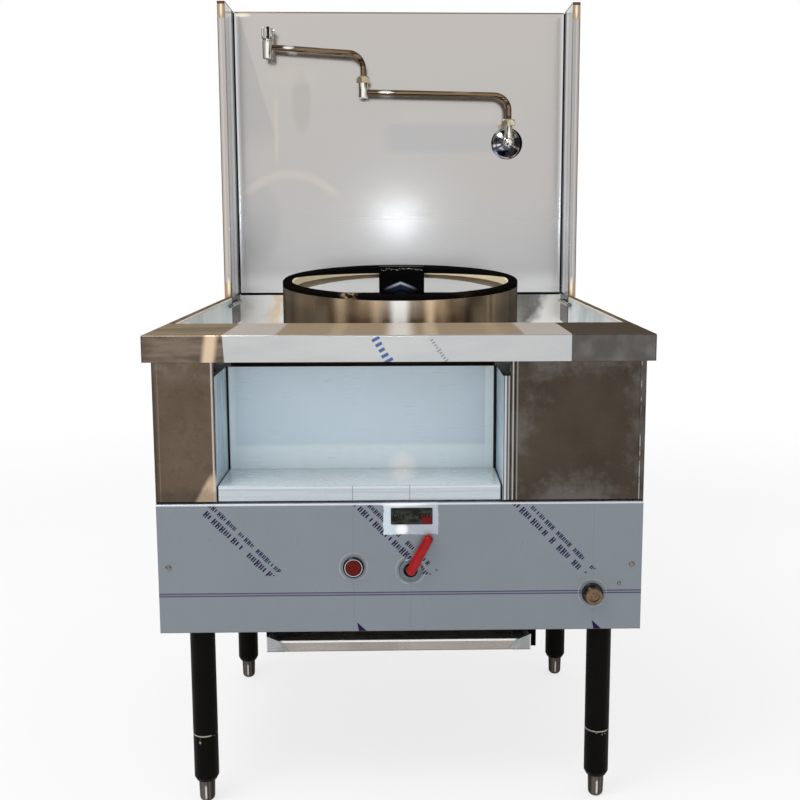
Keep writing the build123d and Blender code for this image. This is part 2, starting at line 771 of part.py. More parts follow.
def pilot_tube():
    x, y = round_place(pilot_angle)
    start = lever_z + valve_up + top_nut_height - 1
    run = start + pilot_rise
    valve_y = panel_front + valve_back
    return pipe([(lever_x, valve_y, start), (lever_x, valve_y, run), (lever_x, valve_y + pilot_straight, run),
                 (x, valve_y + pilot_offset, run), (x, y, run), (x, y, stand_top - stand_sheet)],
                pilot_pipe, pilot_wall, pilot_bend)


# ---- controls ----
def gas_valve():
    valve_y = panel_front + valve_back
    body = rod((lever_x, valve_y, lever_z - valve_down), (0, 0, 1), valve_radius, valve_down + valve_up)
    body = fillet(body.edges().filter_by(GeomType.CIRCLE).sort_by(Axis.Z)[-1], 5)
    body += rod((lever_x, panel_back, lever_z), (0, 1, 0), valve_radius - 3, valve_back)
    body += rod((lever_x, panel_front - washer_sheet, lever_z), (0, 1, 0), nozzle_radius, valve_back)
    body += hex_bar((lever_x, valve_y, lever_z - valve_down + 1), (0, 0, -1), union_flats, union_height)
    body += rod((lever_x, valve_y, lever_z), (0, 1, 0), valve_radius - 6, port_length)
    body += hex_bar((lever_x, valve_y, lever_z + valve_up - 1), (0, 0, 1), top_nut_flats, top_nut_height)
    body -= rod((lever_x, front, lever_z), (0, 1, 0), nozzle_bore, body_setback + nozzle_recess)
    body -= rod((lever_x, front, lever_z), (0, 1, 0), stem_radius + running_fit,
                body_setback + nozzle_recess + stem_length)
    return body - rod((lever_x, valve_y + port_length, lever_z), (0, -1, 0), feed_pipe / 2 - pipe_wall, 12)


def valve_stem():
    start = panel_front + nozzle_recess / 2
    return rod((lever_x, start, lever_z), (0, 1, 0), stem_radius, nozzle_recess / 2 + stem_length - 1)


def lever_washer():
    start = (lever_x, panel_front - washer_sheet, lever_z)
    disc = rod(start, (0, 1, 0), washer_radius, washer_sheet)
    disc = chamfer(disc.edges().sort_by(Axis.Y)[0], washer_sheet * 0.4)
    return disc - rod(start, (0, 1, 0), nozzle_radius, washer_sheet)


def lever_direction():
    return (sin(radians(lever_lean)), 0, cos(radians(lever_lean)))


def lever():
    # hub in the valve's nozzle, cranked out and up into the rod under the grip
    bend_point = (lever_x, panel_front - lever_axis_out, lever_z)
    hub = rod((lever_x, panel_front + 1, lever_z), (0, 1, 0), hub_radius, nozzle_recess - 1 - seam)
    neck = rod(bend_point, (0, 1, 0), lever_rod, lever_axis_out + 2)
    arm = Pos(*bend_point) * Sphere(lever_rod) + rod(bend_point, lever_direction(), lever_rod, lever_length)
    return hub + neck + arm - valve_stem()


def lever_grip():
    start = Vector(lever_x, panel_front - lever_axis_out, lever_z)
    along = Vector(*lever_direction())
    low, high = start + along * grip_start, start + along * (lever_length + 1)
    sleeve = rod(tuple(low), lever_direction(), grip_radius, lever_length + 1 - grip_start)
    sleeve += Pos(*tuple(high)) * Sphere(grip_radius)
    sleeve += Pos(*tuple(low)) * Sphere(grip_radius)
    sleeve -= lever() + rod(tuple(start), (0, 1, 0), lever_rod, lever_axis_out)
    return sleeve


def switch_label():
    x = (label_x - label_width / 2, label_x + label_width / 2)
    top = control_top - label_top_gap
    plate = slab(x, (panel_front - label_sheet, panel_front), (top - label_height, top))
    return fillet(plate.edges().filter_by(Axis.Y), 1.5)


def button_cap():
    centre = (button_x, panel_front, leg_height + button_up)
    cap = revolve(Plane.XY * make_face(Polyline(
        (0, -button_out), (button_radius - 3, -button_out), (button_radius - 0.8, -button_out + 1),
        (button_radius, -button_out + 3), (button_radius, 3), (0, 3), close=True)), Axis.Y)
    stem = rod((0, 3, 0), (0, 1, 0), button_stem, button_stem_length)
    return Pos(*centre) * (cap + stem)


def button_bezel():
    centre = (button_x, panel_front, leg_height + button_up)
    ring = revolve(Plane.XY * make_face(Polyline(
        (bezel_bore, -bezel_out), (bezel_radius - 2, -bezel_out), (bezel_radius, -bezel_out + 2),
        (bezel_radius, 0), (bezel_barrel, 0), (bezel_barrel, bezel_depth), (bezel_bore, bezel_depth),
        close=True)), Axis.Y)
    return Pos(*centre) * ring


def igniter_body():
    start = panel_front + bezel_depth
    z = leg_height + button_up
    body = rod((button_x, start, z), (0, 1, 0), bezel_barrel, 3)
    body += rod((button_x, start + 3, z), (0, 1, 0), igniter_radius, igniter_length)
    body += rod((button_x, start + 3 + igniter_length, z), (0, 1, 0), 2, 8)
    return body - rod((button_x, start, z), (0, 1, 0), button_stem + running_fit, stem_bore)


def plug_bezel():
    start = (plug_x, panel_front - plug_ring_out, leg_height + plug_up)
    ring = rod(start, (0, 1, 0), plug_ring_radius, plug_ring_out)
    ring = fillet(ring.edges().sort_by(Axis.Y)[0], plug_ring_out * 0.6)
    return ring - rod(start, (0, 1, 0), plug_shank, plug_ring_out)


def hex_plug():
    # brass plug with three small pins in its recessed face
    z = leg_height + plug_up
    face = panel_front - plug_ring_out
    plug = hex_bar((plug_x, face, z), (0, -1, 0), plug_flats, plug_head, 30)
    plug += rod((plug_x, face, z), (0, 1, 0), plug_shank, plug_ring_out + plug_depth)
    tip = face - plug_head
    plug -= rod((plug_x, tip, z), (0, 1, 0), plug_flats * 0.32, 2.5)
    for number in range(3):
        turn = radians(90 + 120 * number)
        plug += rod((plug_x + plug_pin_circle * cos(turn), tip + 0.5, z + plug_pin_circle * sin(turn)),
                    (0, 1, 0), plug_pin, 2.5)
    return plug


# ---- drip tray ----
def tray_runners():
    # black channels under the base, open towards the tray
    rails = []
    start = front + tray_front_setback + body_setback
    end = start + tray_length
    for side in (-1, 1):
        outside = slab(sorted((side * runner_outer, side * (runner_outer - runner_width))), (start, end),
                       (leg_height - runner_height, leg_height))
        hollow = slab(sorted((side * (runner_outer - runner_sheet), side * (runner_outer - runner_width - 1))),
                      (start - 1, end - runner_sheet),
                      (runner_ledge, leg_height - runner_sheet))
        rails.append(outside - hollow)
    return Compound(children=[Part(rail.wrapped) for rail in rails])


def drip_tray():
    start = front + tray_front_setback + body_setback
    low = runner_ledge + tray_clearance
    x = (tray_shift - tray_half, tray_shift + tray_half)
    pan = slab(x, (start, start + tray_length - 6), (low, low + tray_wall))
    pan = fillet(pan.faces().sort_by(Axis.Z)[0].edges(), 3)
    pan -= fillet(slab((x[0] + panel_sheet, x[1] - panel_sheet),
                       (start + panel_sheet, start + tray_length - 6 - panel_sheet),
                       (low + panel_sheet, low + tray_wall + 3)).faces().sort_by(Axis.Z)[0].edges(), 3 - panel_sheet)
    pan -= slab((x[0] - 1, x[1] + 1), (start - 1, start + 4),
                (low + tray_front_low - tray_front_drop, low + tray_wall + 1))
    foot, wide = low - tray_front_drop, tray_front_half
    plate = make_face(Polyline((tray_shift - wide, foot), (tray_shift + wide, foot),
                               (tray_shift + wide, foot + tray_front_high),
                               (tray_shift + wide - tray_gusset, foot + tray_front_low),
                               (tray_shift - wide + tray_gusset, foot + tray_front_low),
                               (tray_shift - wide, foot + tray_front_high), close=True))
    pan += extrude(Plane.XZ.offset(-start) * plate, panel_sheet)
    for side in (-1, 1):
        edge = tray_shift + side * wide
        gusset = make_face(Polyline((edge, foot), (edge, foot + tray_front_high),
                                    (edge - side * tray_gusset, foot + tray_front_low),
                                    (edge - side * 1.4 * tray_gusset, foot), close=True))
        pan += extrude(Plane.XZ.offset(-start + panel_sheet) * gusset, panel_sheet * 0.8)
    rolled = rod((tray_shift - wide + tray_gusset, start - panel_sheet / 2, foot + tray_front_low), (1, 0, 0),
                 panel_sheet * 0.9, 2 * (wide - tray_gusset))
    return pan + rolled


# ---- legs ----
def leg_tube(name):
    x, y = legs[name]
    low = sleeve_lift + sleeve_height + sleeve_groove
    return rod((x, y, low), (0, 0, 1), leg_radius, base_floor - low) - rod(
        (x, y, low), (0, 0, 1), leg_radius - leg_wall, base_floor - low)


def leg_sleeves():
    # plain sleeves pressed into the tubes, with a threaded bore for the foot
    sleeves = []
    for x, y in legs.values():
        low, high = sleeve_lift, sleeve_lift + sleeve_height
        sleeves.append(turned([
            (stud_radius + running_fit, low), (leg_radius - sleeve_chamfer, low),
            (leg_radius, low + 2 * sleeve_chamfer), (leg_radius, high), (leg_radius - leg_wall, high),
            (leg_radius - leg_wall, high + 12), (stud_radius + running_fit, high + 12)], x, y))
    return Compound(children=[Part(sleeve.wrapped) for sleeve in sleeves])


def foot(name):
    x, y = legs[name]
    top = sleeve_lift - seam
    wide = foot_radius + foot_flare
    return turned([(0, 0), (foot_sole, 0), (foot_radius - 2.4, 1.2), (foot_radius - 0.8, 3), (foot_radius, 6),
                   (wide, top - 8), (wide, top - 1.5), (wide - 1, top), (stud_radius, top),
                   (stud_radius, top + stud_length), (0, top + stud_length)], x, y)


def leg_plates():
    plates = []
    for x, y in legs.values():
        centre = y + leg_plate_shift if y < 0 else y
        reach = leg_plate_side / 2
        plate = slab((x - reach, x + reach), (centre - reach, centre + reach),
                     (base_top, base_top + leg_plate_sheet))
        plates.append(fillet(plate.edges().filter_by(Axis.Z), 6))
    return Compound(children=[Part(plate.wrapped) for plate in plates])


# ---- swing tap ----
def tap_escutcheon():
    wall = revolve(Plane.XY * make_face(Curve() + [
        ThreePointArc((escutcheon_radius, 0), (escutcheon_radius * 0.72, -escutcheon_height * 0.62),
                      (elbow_radius, -escutcheon_height)),
        Line((elbow_radius, -escutcheon_height), (elbow_radius, 0)),
        Line((elbow_radius, 0), (escutcheon_radius, 0))]), Axis.Y)
    return Pos(tap_x, splash_face, tap_z) * wall


def tap_elbow():
    # wall elbow: threaded tail through the splashback, ball, neck
    neck_top = tap_z + gland_up
    elbow = rod((tap_x, splash_face, tap_z), (0, -1, 0), elbow_radius, tap_out)
    elbow += Pos(tap_x, tap_y, tap_z) * Sphere(elbow_ball)
    elbow += rod((tap_x, tap_y, tap_z), (0, 0, 1), neck_radius, gland_up)
    elbow += rod((tap_x, splash_face, tap_z), (0, 1, 0), elbow_radius, tap_thread_gap)
    elbow += rod((tap_x, splash_face + tap_thread_gap, tap_z), (0, 1, 0), tap_thread, tap_thread_length)
    elbow -= rod((tap_x, tap_y, neck_top), (0, 0, -1), arm_radius + running_fit,
                 gland_up - arm_seat + seat_floor)
    return elbow - rod((tap_x, rear, tap_z), (0, -1, 0), arm_radius, rear - tap_y)


def tap_gland_nut():
    start = tap_z + gland_up
    nut = hex_bar((tap_x, tap_y, start), (0, 0, 1), gland_flats, gland_height, 15)
    return nut - rod((tap_x, tap_y, start), (0, 0, 1), arm_radius + running_fit, gland_height)


def mid_place():
    return tap_x - lower_reach, arm_z + lower_reach * sin(radians(lower_slope))


def lower_arm():
    x, z = mid_place()
    return pipe([(tap_x, tap_y, tap_z + arm_seat), (tap_x, tap_y, arm_z), (x + mid_radius - 1, tap_y, z)],
                2 * arm_radius, arm_wall, arm_bend) - middle_core()


def middle_core():
    x, z = mid_place()
    return rod((x, tap_y, z - mid_below), (0, 0, 1), mid_radius, mid_height)


def mid_joint():
    # socket at the end of the lower arm, blind at the foot
    x, z = mid_place()
    body = middle_core()
    body = chamfer(body.edges().filter_by(GeomType.CIRCLE).sort_by(Axis.Z)[0], 1.2)
    return body - rod((x, tap_y, z - mid_below + mid_floor), (0, 0, 1), arm_radius + running_fit, mid_height)


def mid_nut():
    x, z = mid_place()
    start = z - mid_below + mid_height
    nut = hex_bar((x, tap_y, start), (0, 0, 1), mid_nut_flats, mid_nut_height, 20)
    return nut - rod((x, tap_y, start), (0, 0, 1), arm_radius + running_fit, mid_nut_height)


def outlet_place():
    x, z = mid_place()
    return x - upper_reach, z + upper_rise + upper_reach * sin(radians(upper_slope))


def upper_arm():
    x, z = mid_place()
    end_x, end_z = outlet_place()
    return pipe([(x, tap_y, z - mid_below + mid_floor + seam), (x, tap_y, z + upper_rise),
                 (end_x + outlet_radius - 1, tap_y, end_z)], 2 * arm_radius, arm_wall, arm_bend) - outlet_core()


def outlet_core():
    x, z = outlet_place()
    return rod((x, tap_y, z - outlet_below), (0, 0, 1), outlet_radius, outlet_below + outlet_above - 3)


def outlet_body():
    # tap body: open spout below, waisted neck with the spindle's bore above
    x, z = outlet_place()
    foot_z, top = z - outlet_below, z + outlet_above
    neck, bore = outlet_radius - outlet_waist, spindle_radius + running_fit
    core = turned([(outlet_bore, foot_z), (outlet_radius - 1.5, foot_z), (outlet_radius, foot_z + 1.5),
                   (outlet_radius, top - 3), (neck, top - 1.5), (neck, top), (bore, top),
                   (bore, top - spindle_length - 3), (outlet_bore, top - spindle_length - 3)], x, tap_y)
    return core


def outlet_knob():
    x, z = outlet_place()
    low = z + outlet_above + knob_gap
    knob = turned([(0, low), (knob_radius - outlet_waist, low), (knob_radius, low + 1.5),
                   (knob_radius, low + knob_height - 5), (knob_radius - 2, low + knob_height - 1),
                   (knob_radius - 5, low + knob_height), (0, low + knob_height)], x, tap_y)
    for number in range(8):
        turn = radians(45 * number)
        knob -= rod((x + (knob_radius + 1) * cos(turn), tap_y + (knob_radius + 1) * sin(turn), low + 5),
                    (0, 0, 1), 2.2, knob_height - 11)
    knob += rod((x, tap_y, low + 0.7 * knob_height), (1, 0, 0), nib_radius, nib_reach)
    return knob + rod((x, tap_y, low), (0, 0, -1), spindle_radius, spindle_length)


parts = {
    "worktop": worktop(),
    "splashback_panel": splashback(),
    "left_wing": wing(-1),
    "right_wing": wing(1),
    "wing_clamps": wing_clamps(),
    "left_side_panel": side_panel(-1),
    "right_side_panel": side_panel(1),
    "rear_panel": rear_panel(),
    "base_pan": base_pan(),
    "left_front_panel": left_front_panel(),
    "right_front_panel": right_front_panel(),
    "niche_liner": niche_liner(),
    "niche_shelf": niche_shelf(),
    "control_panel": control_panel(),
    "panel_screws": panel_screws(),
    "wok_ring": wok_ring(),
    "ring_back_plate": ring_back_plate(),
    "ring_collar": ring_collar(),
    "burner_bowl": burner_bowl(),
    "burner_head": burner_head(),
    "mixing_tube": mixing_tube(),
    "burner_stand": burner_stand(),
    "pilot_burner": pilot_burner(),
    "thermocouple": thermocouple(),
    "gas_injector": gas_injector(),
    "gas_inlet_pipe": gas_inlet_pipe(),
    "gas_feed_pipe": gas_feed_pipe(),
    "pilot_tube": pilot_tube(),
    "gas_valve": gas_valve(),
    "valve_stem": valve_stem(),
    "lever_washer": lever_washer(),
    "lever": lever(),
    "lever_grip": lever_grip(),
    "switch_label": switch_label(),
    "button_cap": button_cap(),
    "button_bezel": button_bezel(),
    "igniter_body": igniter_body(),
    "plug_bezel": plug_bezel(),
    "hex_plug": hex_plug(),
    "drip_tray": drip_tray(),
    "tray_runners": tray_runners(),
    "leg_sleeves": leg_sleeves(),
    "leg_plates": leg_plates(),
    "tap_escutcheon": tap_escutcheon(),
    "tap_elbow": tap_elbow(),
    "tap_gland_nut": tap_gland_nut(),
    "lower_arm": lower_arm(),
    "mid_joint": mid_joint(),
    "mid_nut": mid_nut(),
    "upper_arm": upper_arm(),
    "outlet_body": outlet_body(),
    "outlet_knob": outlet_knob(),
}
for corner in legs:
    parts[f"{corner}_leg"] = leg_tube(corner)
    parts[f"{corner}_foot"] = foot(corner)

os.makedirs("parts", exist_ok=True)
for name, part in parts.items():
    export_step(part, f"parts/{name}.step")
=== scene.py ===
import math
import random

import bmesh
import bpy
from mathutils import Matrix, Vector


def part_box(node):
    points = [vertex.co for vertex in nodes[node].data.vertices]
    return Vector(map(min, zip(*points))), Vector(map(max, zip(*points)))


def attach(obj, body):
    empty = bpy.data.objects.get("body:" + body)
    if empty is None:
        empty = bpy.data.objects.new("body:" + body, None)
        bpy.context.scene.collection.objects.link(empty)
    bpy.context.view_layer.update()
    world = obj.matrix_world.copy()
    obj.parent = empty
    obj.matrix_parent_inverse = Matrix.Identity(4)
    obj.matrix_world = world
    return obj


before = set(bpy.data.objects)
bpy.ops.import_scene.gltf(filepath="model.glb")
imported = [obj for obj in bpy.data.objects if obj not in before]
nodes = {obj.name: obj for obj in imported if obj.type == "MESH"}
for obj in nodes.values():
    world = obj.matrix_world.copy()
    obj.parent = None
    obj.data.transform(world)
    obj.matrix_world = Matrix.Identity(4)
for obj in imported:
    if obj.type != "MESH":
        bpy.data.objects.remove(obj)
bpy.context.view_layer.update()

random.seed(7)
print("wok range: frame loaded,", len(nodes), "parts")

# camera, fitted to the corners of the cabinet and splashback
view = {
    "place": (0.00346, -1.96727, 0.90449),
    "pitch": 0.13829,         # down
    "yaw": 0.02444,           # to the right
    "roll": -0.00093,
    "picture": 800,           # pixels along each side
    "focal": 1061.1,          # in those pixels
    "centre": (428.39, 367.47),
    "sensor": 36,
    "clip": (0.05, 60),
}


def makeCamera():
    data = bpy.data.cameras.new("Camera")
    picture = view["picture"]
    data.sensor_width = view["sensor"]
    data.lens = view["focal"] * view["sensor"] / picture
    data.shift_x = (picture / 2 - view["centre"][0]) / picture
    data.shift_y = (view["centre"][1] - picture / 2) / picture
    data.clip_start, data.clip_end = view["clip"]
    camera = bpy.data.objects.new("Camera", data)
    bpy.context.scene.collection.objects.link(camera)
    turn = (Matrix.Rotation(-view["yaw"], 4, "Z") @ Matrix.Rotation(math.pi / 2 - view["pitch"], 4, "X")
            @ Matrix.Rotation(view["roll"], 4, "Z"))
    camera.matrix_world = Matrix.Translation(view["place"]) @ turn
    bpy.context.scene.camera = camera


makeCamera()

# short ways to build node trees


def newMaterial(name):
    material = bpy.data.materials.new(name)
    material.use_nodes = True
    material.node_tree.nodes.clear()
    return material, material.node_tree


def add(tree, kind, inputs=None, **settings):
    node = tree.nodes.new("ShaderNode" + kind)
    for name, value in settings.items():
        setattr(node, name, value)
    for key, value in (inputs or {}).items():
        if isinstance(value, bpy.types.NodeSocket):
            tree.links.new(value, node.inputs[key])
        else:
            node.inputs[key].default_value = value
    return node


def calc(tree, operation, first, second=0.0):
    return add(tree, "Math", {0: first, 1: second}, operation=operation).outputs[0]


def plus(tree, first, second):
    return calc(tree, "ADD", first, second)


def minus(tree, first, second):
    return calc(tree, "SUBTRACT", first, second)


def rest(tree, share):
    # what is left of the whole
    return calc(tree, "SUBTRACT", 1.0, share)


def times(tree, *values):
    product = values[0]
    for value in values[1:]:
        product = calc(tree, "MULTIPLY", product, value)
    return product


def most(tree, *values):
    highest = values[0]
    for value in values[1:]:
        highest = calc(tree, "MAXIMUM", highest, value)
    return highest


def unsigned(tree, value):
    return calc(tree, "ABSOLUTE", value)


def distance(tree, across, up):
    return calc(tree, "SQRT", plus(tree, calc(tree, "POWER", across, 2.0), calc(tree, "POWER", up, 2.0)))


def ramp(tree, value, low, high, start=0.0, end=1.0):
    # smooth step from start to end as value goes from low to high
    node = add(tree, "MapRange", {"Value": value, "From Min": low, "From Max": high, "To Min": start,
                                  "To Max": end}, interpolation_type="SMOOTHSTEP")
    return node.outputs["Result"]


def within(tree, value, low, high, soft=0.0005):
    # 1 between low and high, 0 outside
    return times(tree, ramp(tree, value, low - soft, low + soft),
                 ramp(tree, value, high - soft, high + soft, 1.0, 0.0))


def blend(tree, share, first, second):
    # colour mix
    node = add(tree, "Mix", {"Factor": share}, data_type="RGBA")
    for key, value in (("A", first), ("B", second)):
        socket = next(s for s in node.inputs if s.name == key and s.type == "RGBA")
        if isinstance(value, bpy.types.NodeSocket):
            tree.links.new(value, socket)
        else:
            socket.default_value = (*value, 1.0)
    return next(s for s in node.outputs if s.type == "RGBA")


def paint(tree, color, tint, *shares):
    # tint laid over a colour where all shares meet
    return blend(tree, times(tree, *shares), color, tint)


def blendValue(tree, share, first, second):
    return add(tree, "Mix", {"Factor": share, "A": first, "B": second}, data_type="FLOAT").outputs[0]


def position(tree):
    place = add(tree, "TexCoord").outputs["Object"]
    split = add(tree, "SeparateXYZ", {0: place})
    return place, split.outputs["X"], split.outputs["Y"], split.outputs["Z"]


def noise(tree, place, scale, detail=3.0, rough=0.55):
    # 0 to 1 noise, scale may differ along x, y and z
    size = scale if isinstance(scale, tuple) else (scale, scale, scale)
    stretched = add(tree, "Mapping", {"Vector": place, "Scale": size})
    node = add(tree, "TexNoise", {"Vector": stretched.outputs[0], "Scale": 1.0, "Detail": detail,
                                  "Roughness": rough})
    return node.outputs["Fac"]


def surface(tree, color, roughness, height=None, lift=0.0002, **fixed):
    # closes a tree with the shader, its bump and its output
    shader = add(tree, "BsdfPrincipled", {"Base Color": color, "Roughness": roughness})
    for key, value in fixed.items():
        shader.inputs[key.replace("_", " ")].default_value = value
    if height is not None:
        bump = add(tree, "Bump", {"Height": height, "Strength": 1.0, "Distance": lift})
        tree.links.new(bump.outputs[0], shader.inputs["Normal"])
    out = add(tree, "OutputMaterial")
    tree.links.new(shader.outputs[0], out.inputs[0])
    return shader


def spot(tree, first, second, centre, size, soft=0.35):
    # soft oval patch on a face, 1 in the middle
    across = calc(tree, "POWER", calc(tree, "DIVIDE", minus(tree, first, centre[0]), size[0]), 2.0)
    up = calc(tree, "POWER", calc(tree, "DIVIDE", minus(tree, second, centre[1]), size[1]), 2.0)
    return ramp(tree, plus(tree, across, up), 1.0 - soft, 1.0 + soft, 1.0, 0.0)


def wear(node, material):
    # the CAD part takes this material in all its slots
    mesh = nodes[node].data
    mesh.materials.clear()
    mesh.materials.append(material)


# stainless sheet, bare and under its film
steelLook = {
    "grainFine": 2600.0,
    "grainLong": 22.0,
    "unevenness": 0.14,       # of the roughness
    "scratchShade": 0.62,     # scratches and dirt as a share of the sheet's colour
    "dirtShade": 0.35,
}
white = (1.0, 1.0, 1.0)
# black painted into joints and gaps as their shadow
jointShadow = (0.006, 0.006, 0.007)


def grain(tree, place, along, fine=None, run=None, rough=0.6):
    # brushed lines along x, y or z
    size = [fine or steelLook["grainFine"]] * 3
    size["xyz".index(along)] = run or steelLook["grainLong"]
    return noise(tree, place, tuple(size), 2.0, rough)


def steelPanel(name, first, second, along, roughness=0.3, patches=6.0, share=0.5, scratch=0.12, specks=0.0,
               warp=0.0003, gloss=0.15, run=None, extra=None):
    # brushed sheet whose colour drifts in soft patches; extra adds what one sheet alone has
    material, tree = newMaterial(name)
    place, x, y, z = position(tree)
    lines = grain(tree, place, along, run=run)
    cloud = ramp(tree, noise(tree, place, patches, 5.0, 0.6), 0.3, 0.7, 0.0, share)
    look = {"color": blend(tree, cloud, first, second)}
    dark = tuple(c * steelLook["scratchShade"] for c in first)
    look["color"] = paint(tree, look["color"], dark, ramp(tree, lines, 0.3, 0.7, 0.0, scratch))
    change = steelLook["unevenness"] * roughness
    drift = ramp(tree, noise(tree, place, 23.0, 4.0), 0.35, 0.7, -change, change)
    look["rough"] = plus(tree, ramp(tree, lines, 0.2, 0.8, roughness - change, roughness + change), drift)
    if specks:
        dirt = ramp(tree, noise(tree, place, 210.0, 2.0), 0.67, 0.74, 0.0, specks)
        look["color"] = paint(tree, look["color"], tuple(c * steelLook["dirtShade"] for c in first), dirt)
        look["rough"] = plus(tree, look["rough"], times(tree, dirt, 0.2))
    look["height"] = plus(tree, times(tree, lines, 0.06), noise(tree, place, 5.0, 1.0))
    look["warp"], look["dull"] = warp, 0.0      # dull is 1 where no bare metal shows
    if extra:
        extra(tree, place, x, y, z, look)
    shader = surface(tree, look["color"], look["rough"], look["height"], warp, Specular_IOR_Level=gloss)
    if isinstance(look["dull"], bpy.types.NodeSocket):
        tree.links.new(rest(tree, look["dull"]), shader.inputs["Metallic"])
    else:
        shader.inputs["Metallic"].default_value = 1.0 - look["dull"]
    return material


splashLook = {
    "low": (0.615, 0.615, 0.630),
    "middle": (0.545, 0.534, 0.532),
    "high": (0.580, 0.552, 0.530),
    "lowTo": (0.78, 0.98),        # heights between which one colour turns into the next
    "highFrom": (1.0, 1.36),
    "drift": 0.82,
    "edge": 0.3582,               # half the sheet's width
    "bendWide": 0.0105,           # the last strip of the sheet curves forward
    "bendRadius": 0.045,
    # painted reflection along the bent edges
    "bendReflection": (0.72, 0.76, 0.82),
    "skin": (0.4163, 0.4157),     # depth from the back of the sheet to its front
    "plain": (0.47, 0.465, 0.455),
    "rough": 0.172,
    # the foot band below is painted black as the shadow in the joint with the worktop
    "foot": (0.7438, 0.7426),     # joint with the worktop
    "head": (1.3462, 1.3474),
    "headTint": (0.22, 0.14, 0.085),
    "corner": (1.345, 0.29, 0.345, (0.455, 0.455, 0.455)),     # height, lean, distance, tint
    # painted reflections, each with its strength and tint; oval: middle, half size, softness; bar: from, to
    # and softness, twice
    "paintedReflections": (("oval", ((-0.2155, 1.158), (0.021, 0.060)), 0.6, 0.55, (0.47, 0.455, 0.44)),
               ("oval", ((-0.318, 0.90), (0.05, 0.085)), 0.5, 0.45, (0.455, 0.465, 0.485)),
               ("bar", (-0.2755, -0.2675, 0.004), (1.035, 1.165, 0.02), 0.45, (0.70, 0.62, 0.53)),
               ("oval", ((-0.235, 1.215), (0.055, 0.018)), 0.8, 0.3, (0.63, 0.58, 0.53)),
               ("bar", (-0.03, 0.225, 0.02), (1.052, 1.112, 0.008), 0.5, (0.465, 0.475, 0.50)),
               ("bar", (0.0, 0.27, 0.03), (1.118, 1.145, 0.01), 0.35, (0.60, 0.57, 0.53))),
    # painted reflection of an arc: middle, radii and softness, tint
    "reflectionArc": ((-0.243, 0.872), (0.123, 0.140, 0.006), (0.66, 0.61, 0.56)),
    "gleam": ((-0.340, 1.3425), (0.016, 0.0035)),
    "dullBelow": (0.98, 0.80),
}


def splashExtra(tree, place, x, y, z, look):
    # warmer towards the top; painted reflections as faint patches and an arc; hollow bend down both edges
    color = blend(tree, ramp(tree, z, *splashLook["lowTo"]), splashLook["low"], splashLook["middle"])
    color = paint(tree, color, splashLook["high"], ramp(tree, z, *splashLook["highFrom"]))
    color = paint(tree, look["color"], color, splashLook["drift"])
    height, lean, far, tint = splashLook["corner"]
    slope = plus(tree, x, times(tree, minus(tree, z, height), lean))
    corner = times(tree, ramp(tree, slope, -far, -far - 0.007), ramp(tree, z, 1.03, 1.13))
    color = paint(tree, color, tint, corner, 0.6)
    # painted reflections as soft patches and bars
    for kind, first, second, share, tint in splashLook["paintedReflections"]:
        if kind == "oval":
            tintPatch = spot(tree, x, z, *first, second)
        else:
            tintPatch = times(tree, within(tree, x, *first), within(tree, z, *second))
        color = paint(tree, color, tint, tintPatch, share)
    # painted reflection of an arc
    centre, radii, tint = splashLook["reflectionArc"]
    reflectionArc = distance(tree, plus(tree, x, -centre[0]), minus(tree, z, centre[1]))
    color = paint(tree, color, tint, within(tree, reflectionArc, *radii), ramp(tree, z, 0.945, 0.975), 0.5)
    bend = most(tree, minus(tree, unsigned(tree, x), splashLook["edge"] - splashLook["bendWide"]), 0.0)
    curve = times(tree, calc(tree, "POWER", bend, 2.0), 0.5 / splashLook["bendRadius"] / look["warp"])
    look["height"] = plus(tree, look["height"], curve)
    # painted reflection: paler strip along the bent edges
    color = paint(tree, color, splashLook["bendReflection"], ramp(tree, bend, 0.0035, 0.0075, 0.0, 0.75))
    color = paint(tree, color, splashLook["headTint"], ramp(tree, z, *splashLook["head"]), 0.85)
    # painted glint at the top left corner
    color = paint(tree, color, (1.0, 0.93, 0.76), spot(tree, x, z, *splashLook["gleam"], 0.95), 0.9)
    # painted light: paler towards the foot, against the shade and dark reflection behind the ring
    color = paint(tree, color, (0.95, 0.95, 0.955), ramp(tree, z, 0.80, 0.755), 0.85)
    # painted shadow: black in the joint with the worktop
    foot = ramp(tree, z, *splashLook["foot"])
    color = paint(tree, color, jointShadow, foot)
    # the sheet's back is plain
    front = most(tree, ramp(tree, y, *splashLook["skin"]), ramp(tree, z, 1.3445, 1.3455))
    look["color"] = blend(tree, front, splashLook["plain"], color)
    dull = most(tree, foot, ramp(tree, z, *splashLook["dullBelow"], 0.0, 0.75))
    look["dull"] = blendValue(tree, front, 0.2, dull)
    look["rough"] = splashLook["rough"]      # even, so that the flash stays round


wear("splashback_panel", steelPanel("splashback steel", (0.505, 0.500, 0.495), (0.488, 0.490, 0.500), "z",
                                    0.175, 1.4, 0.6, 0.045, warp=0.00010, run=0.9, extra=splashExtra))

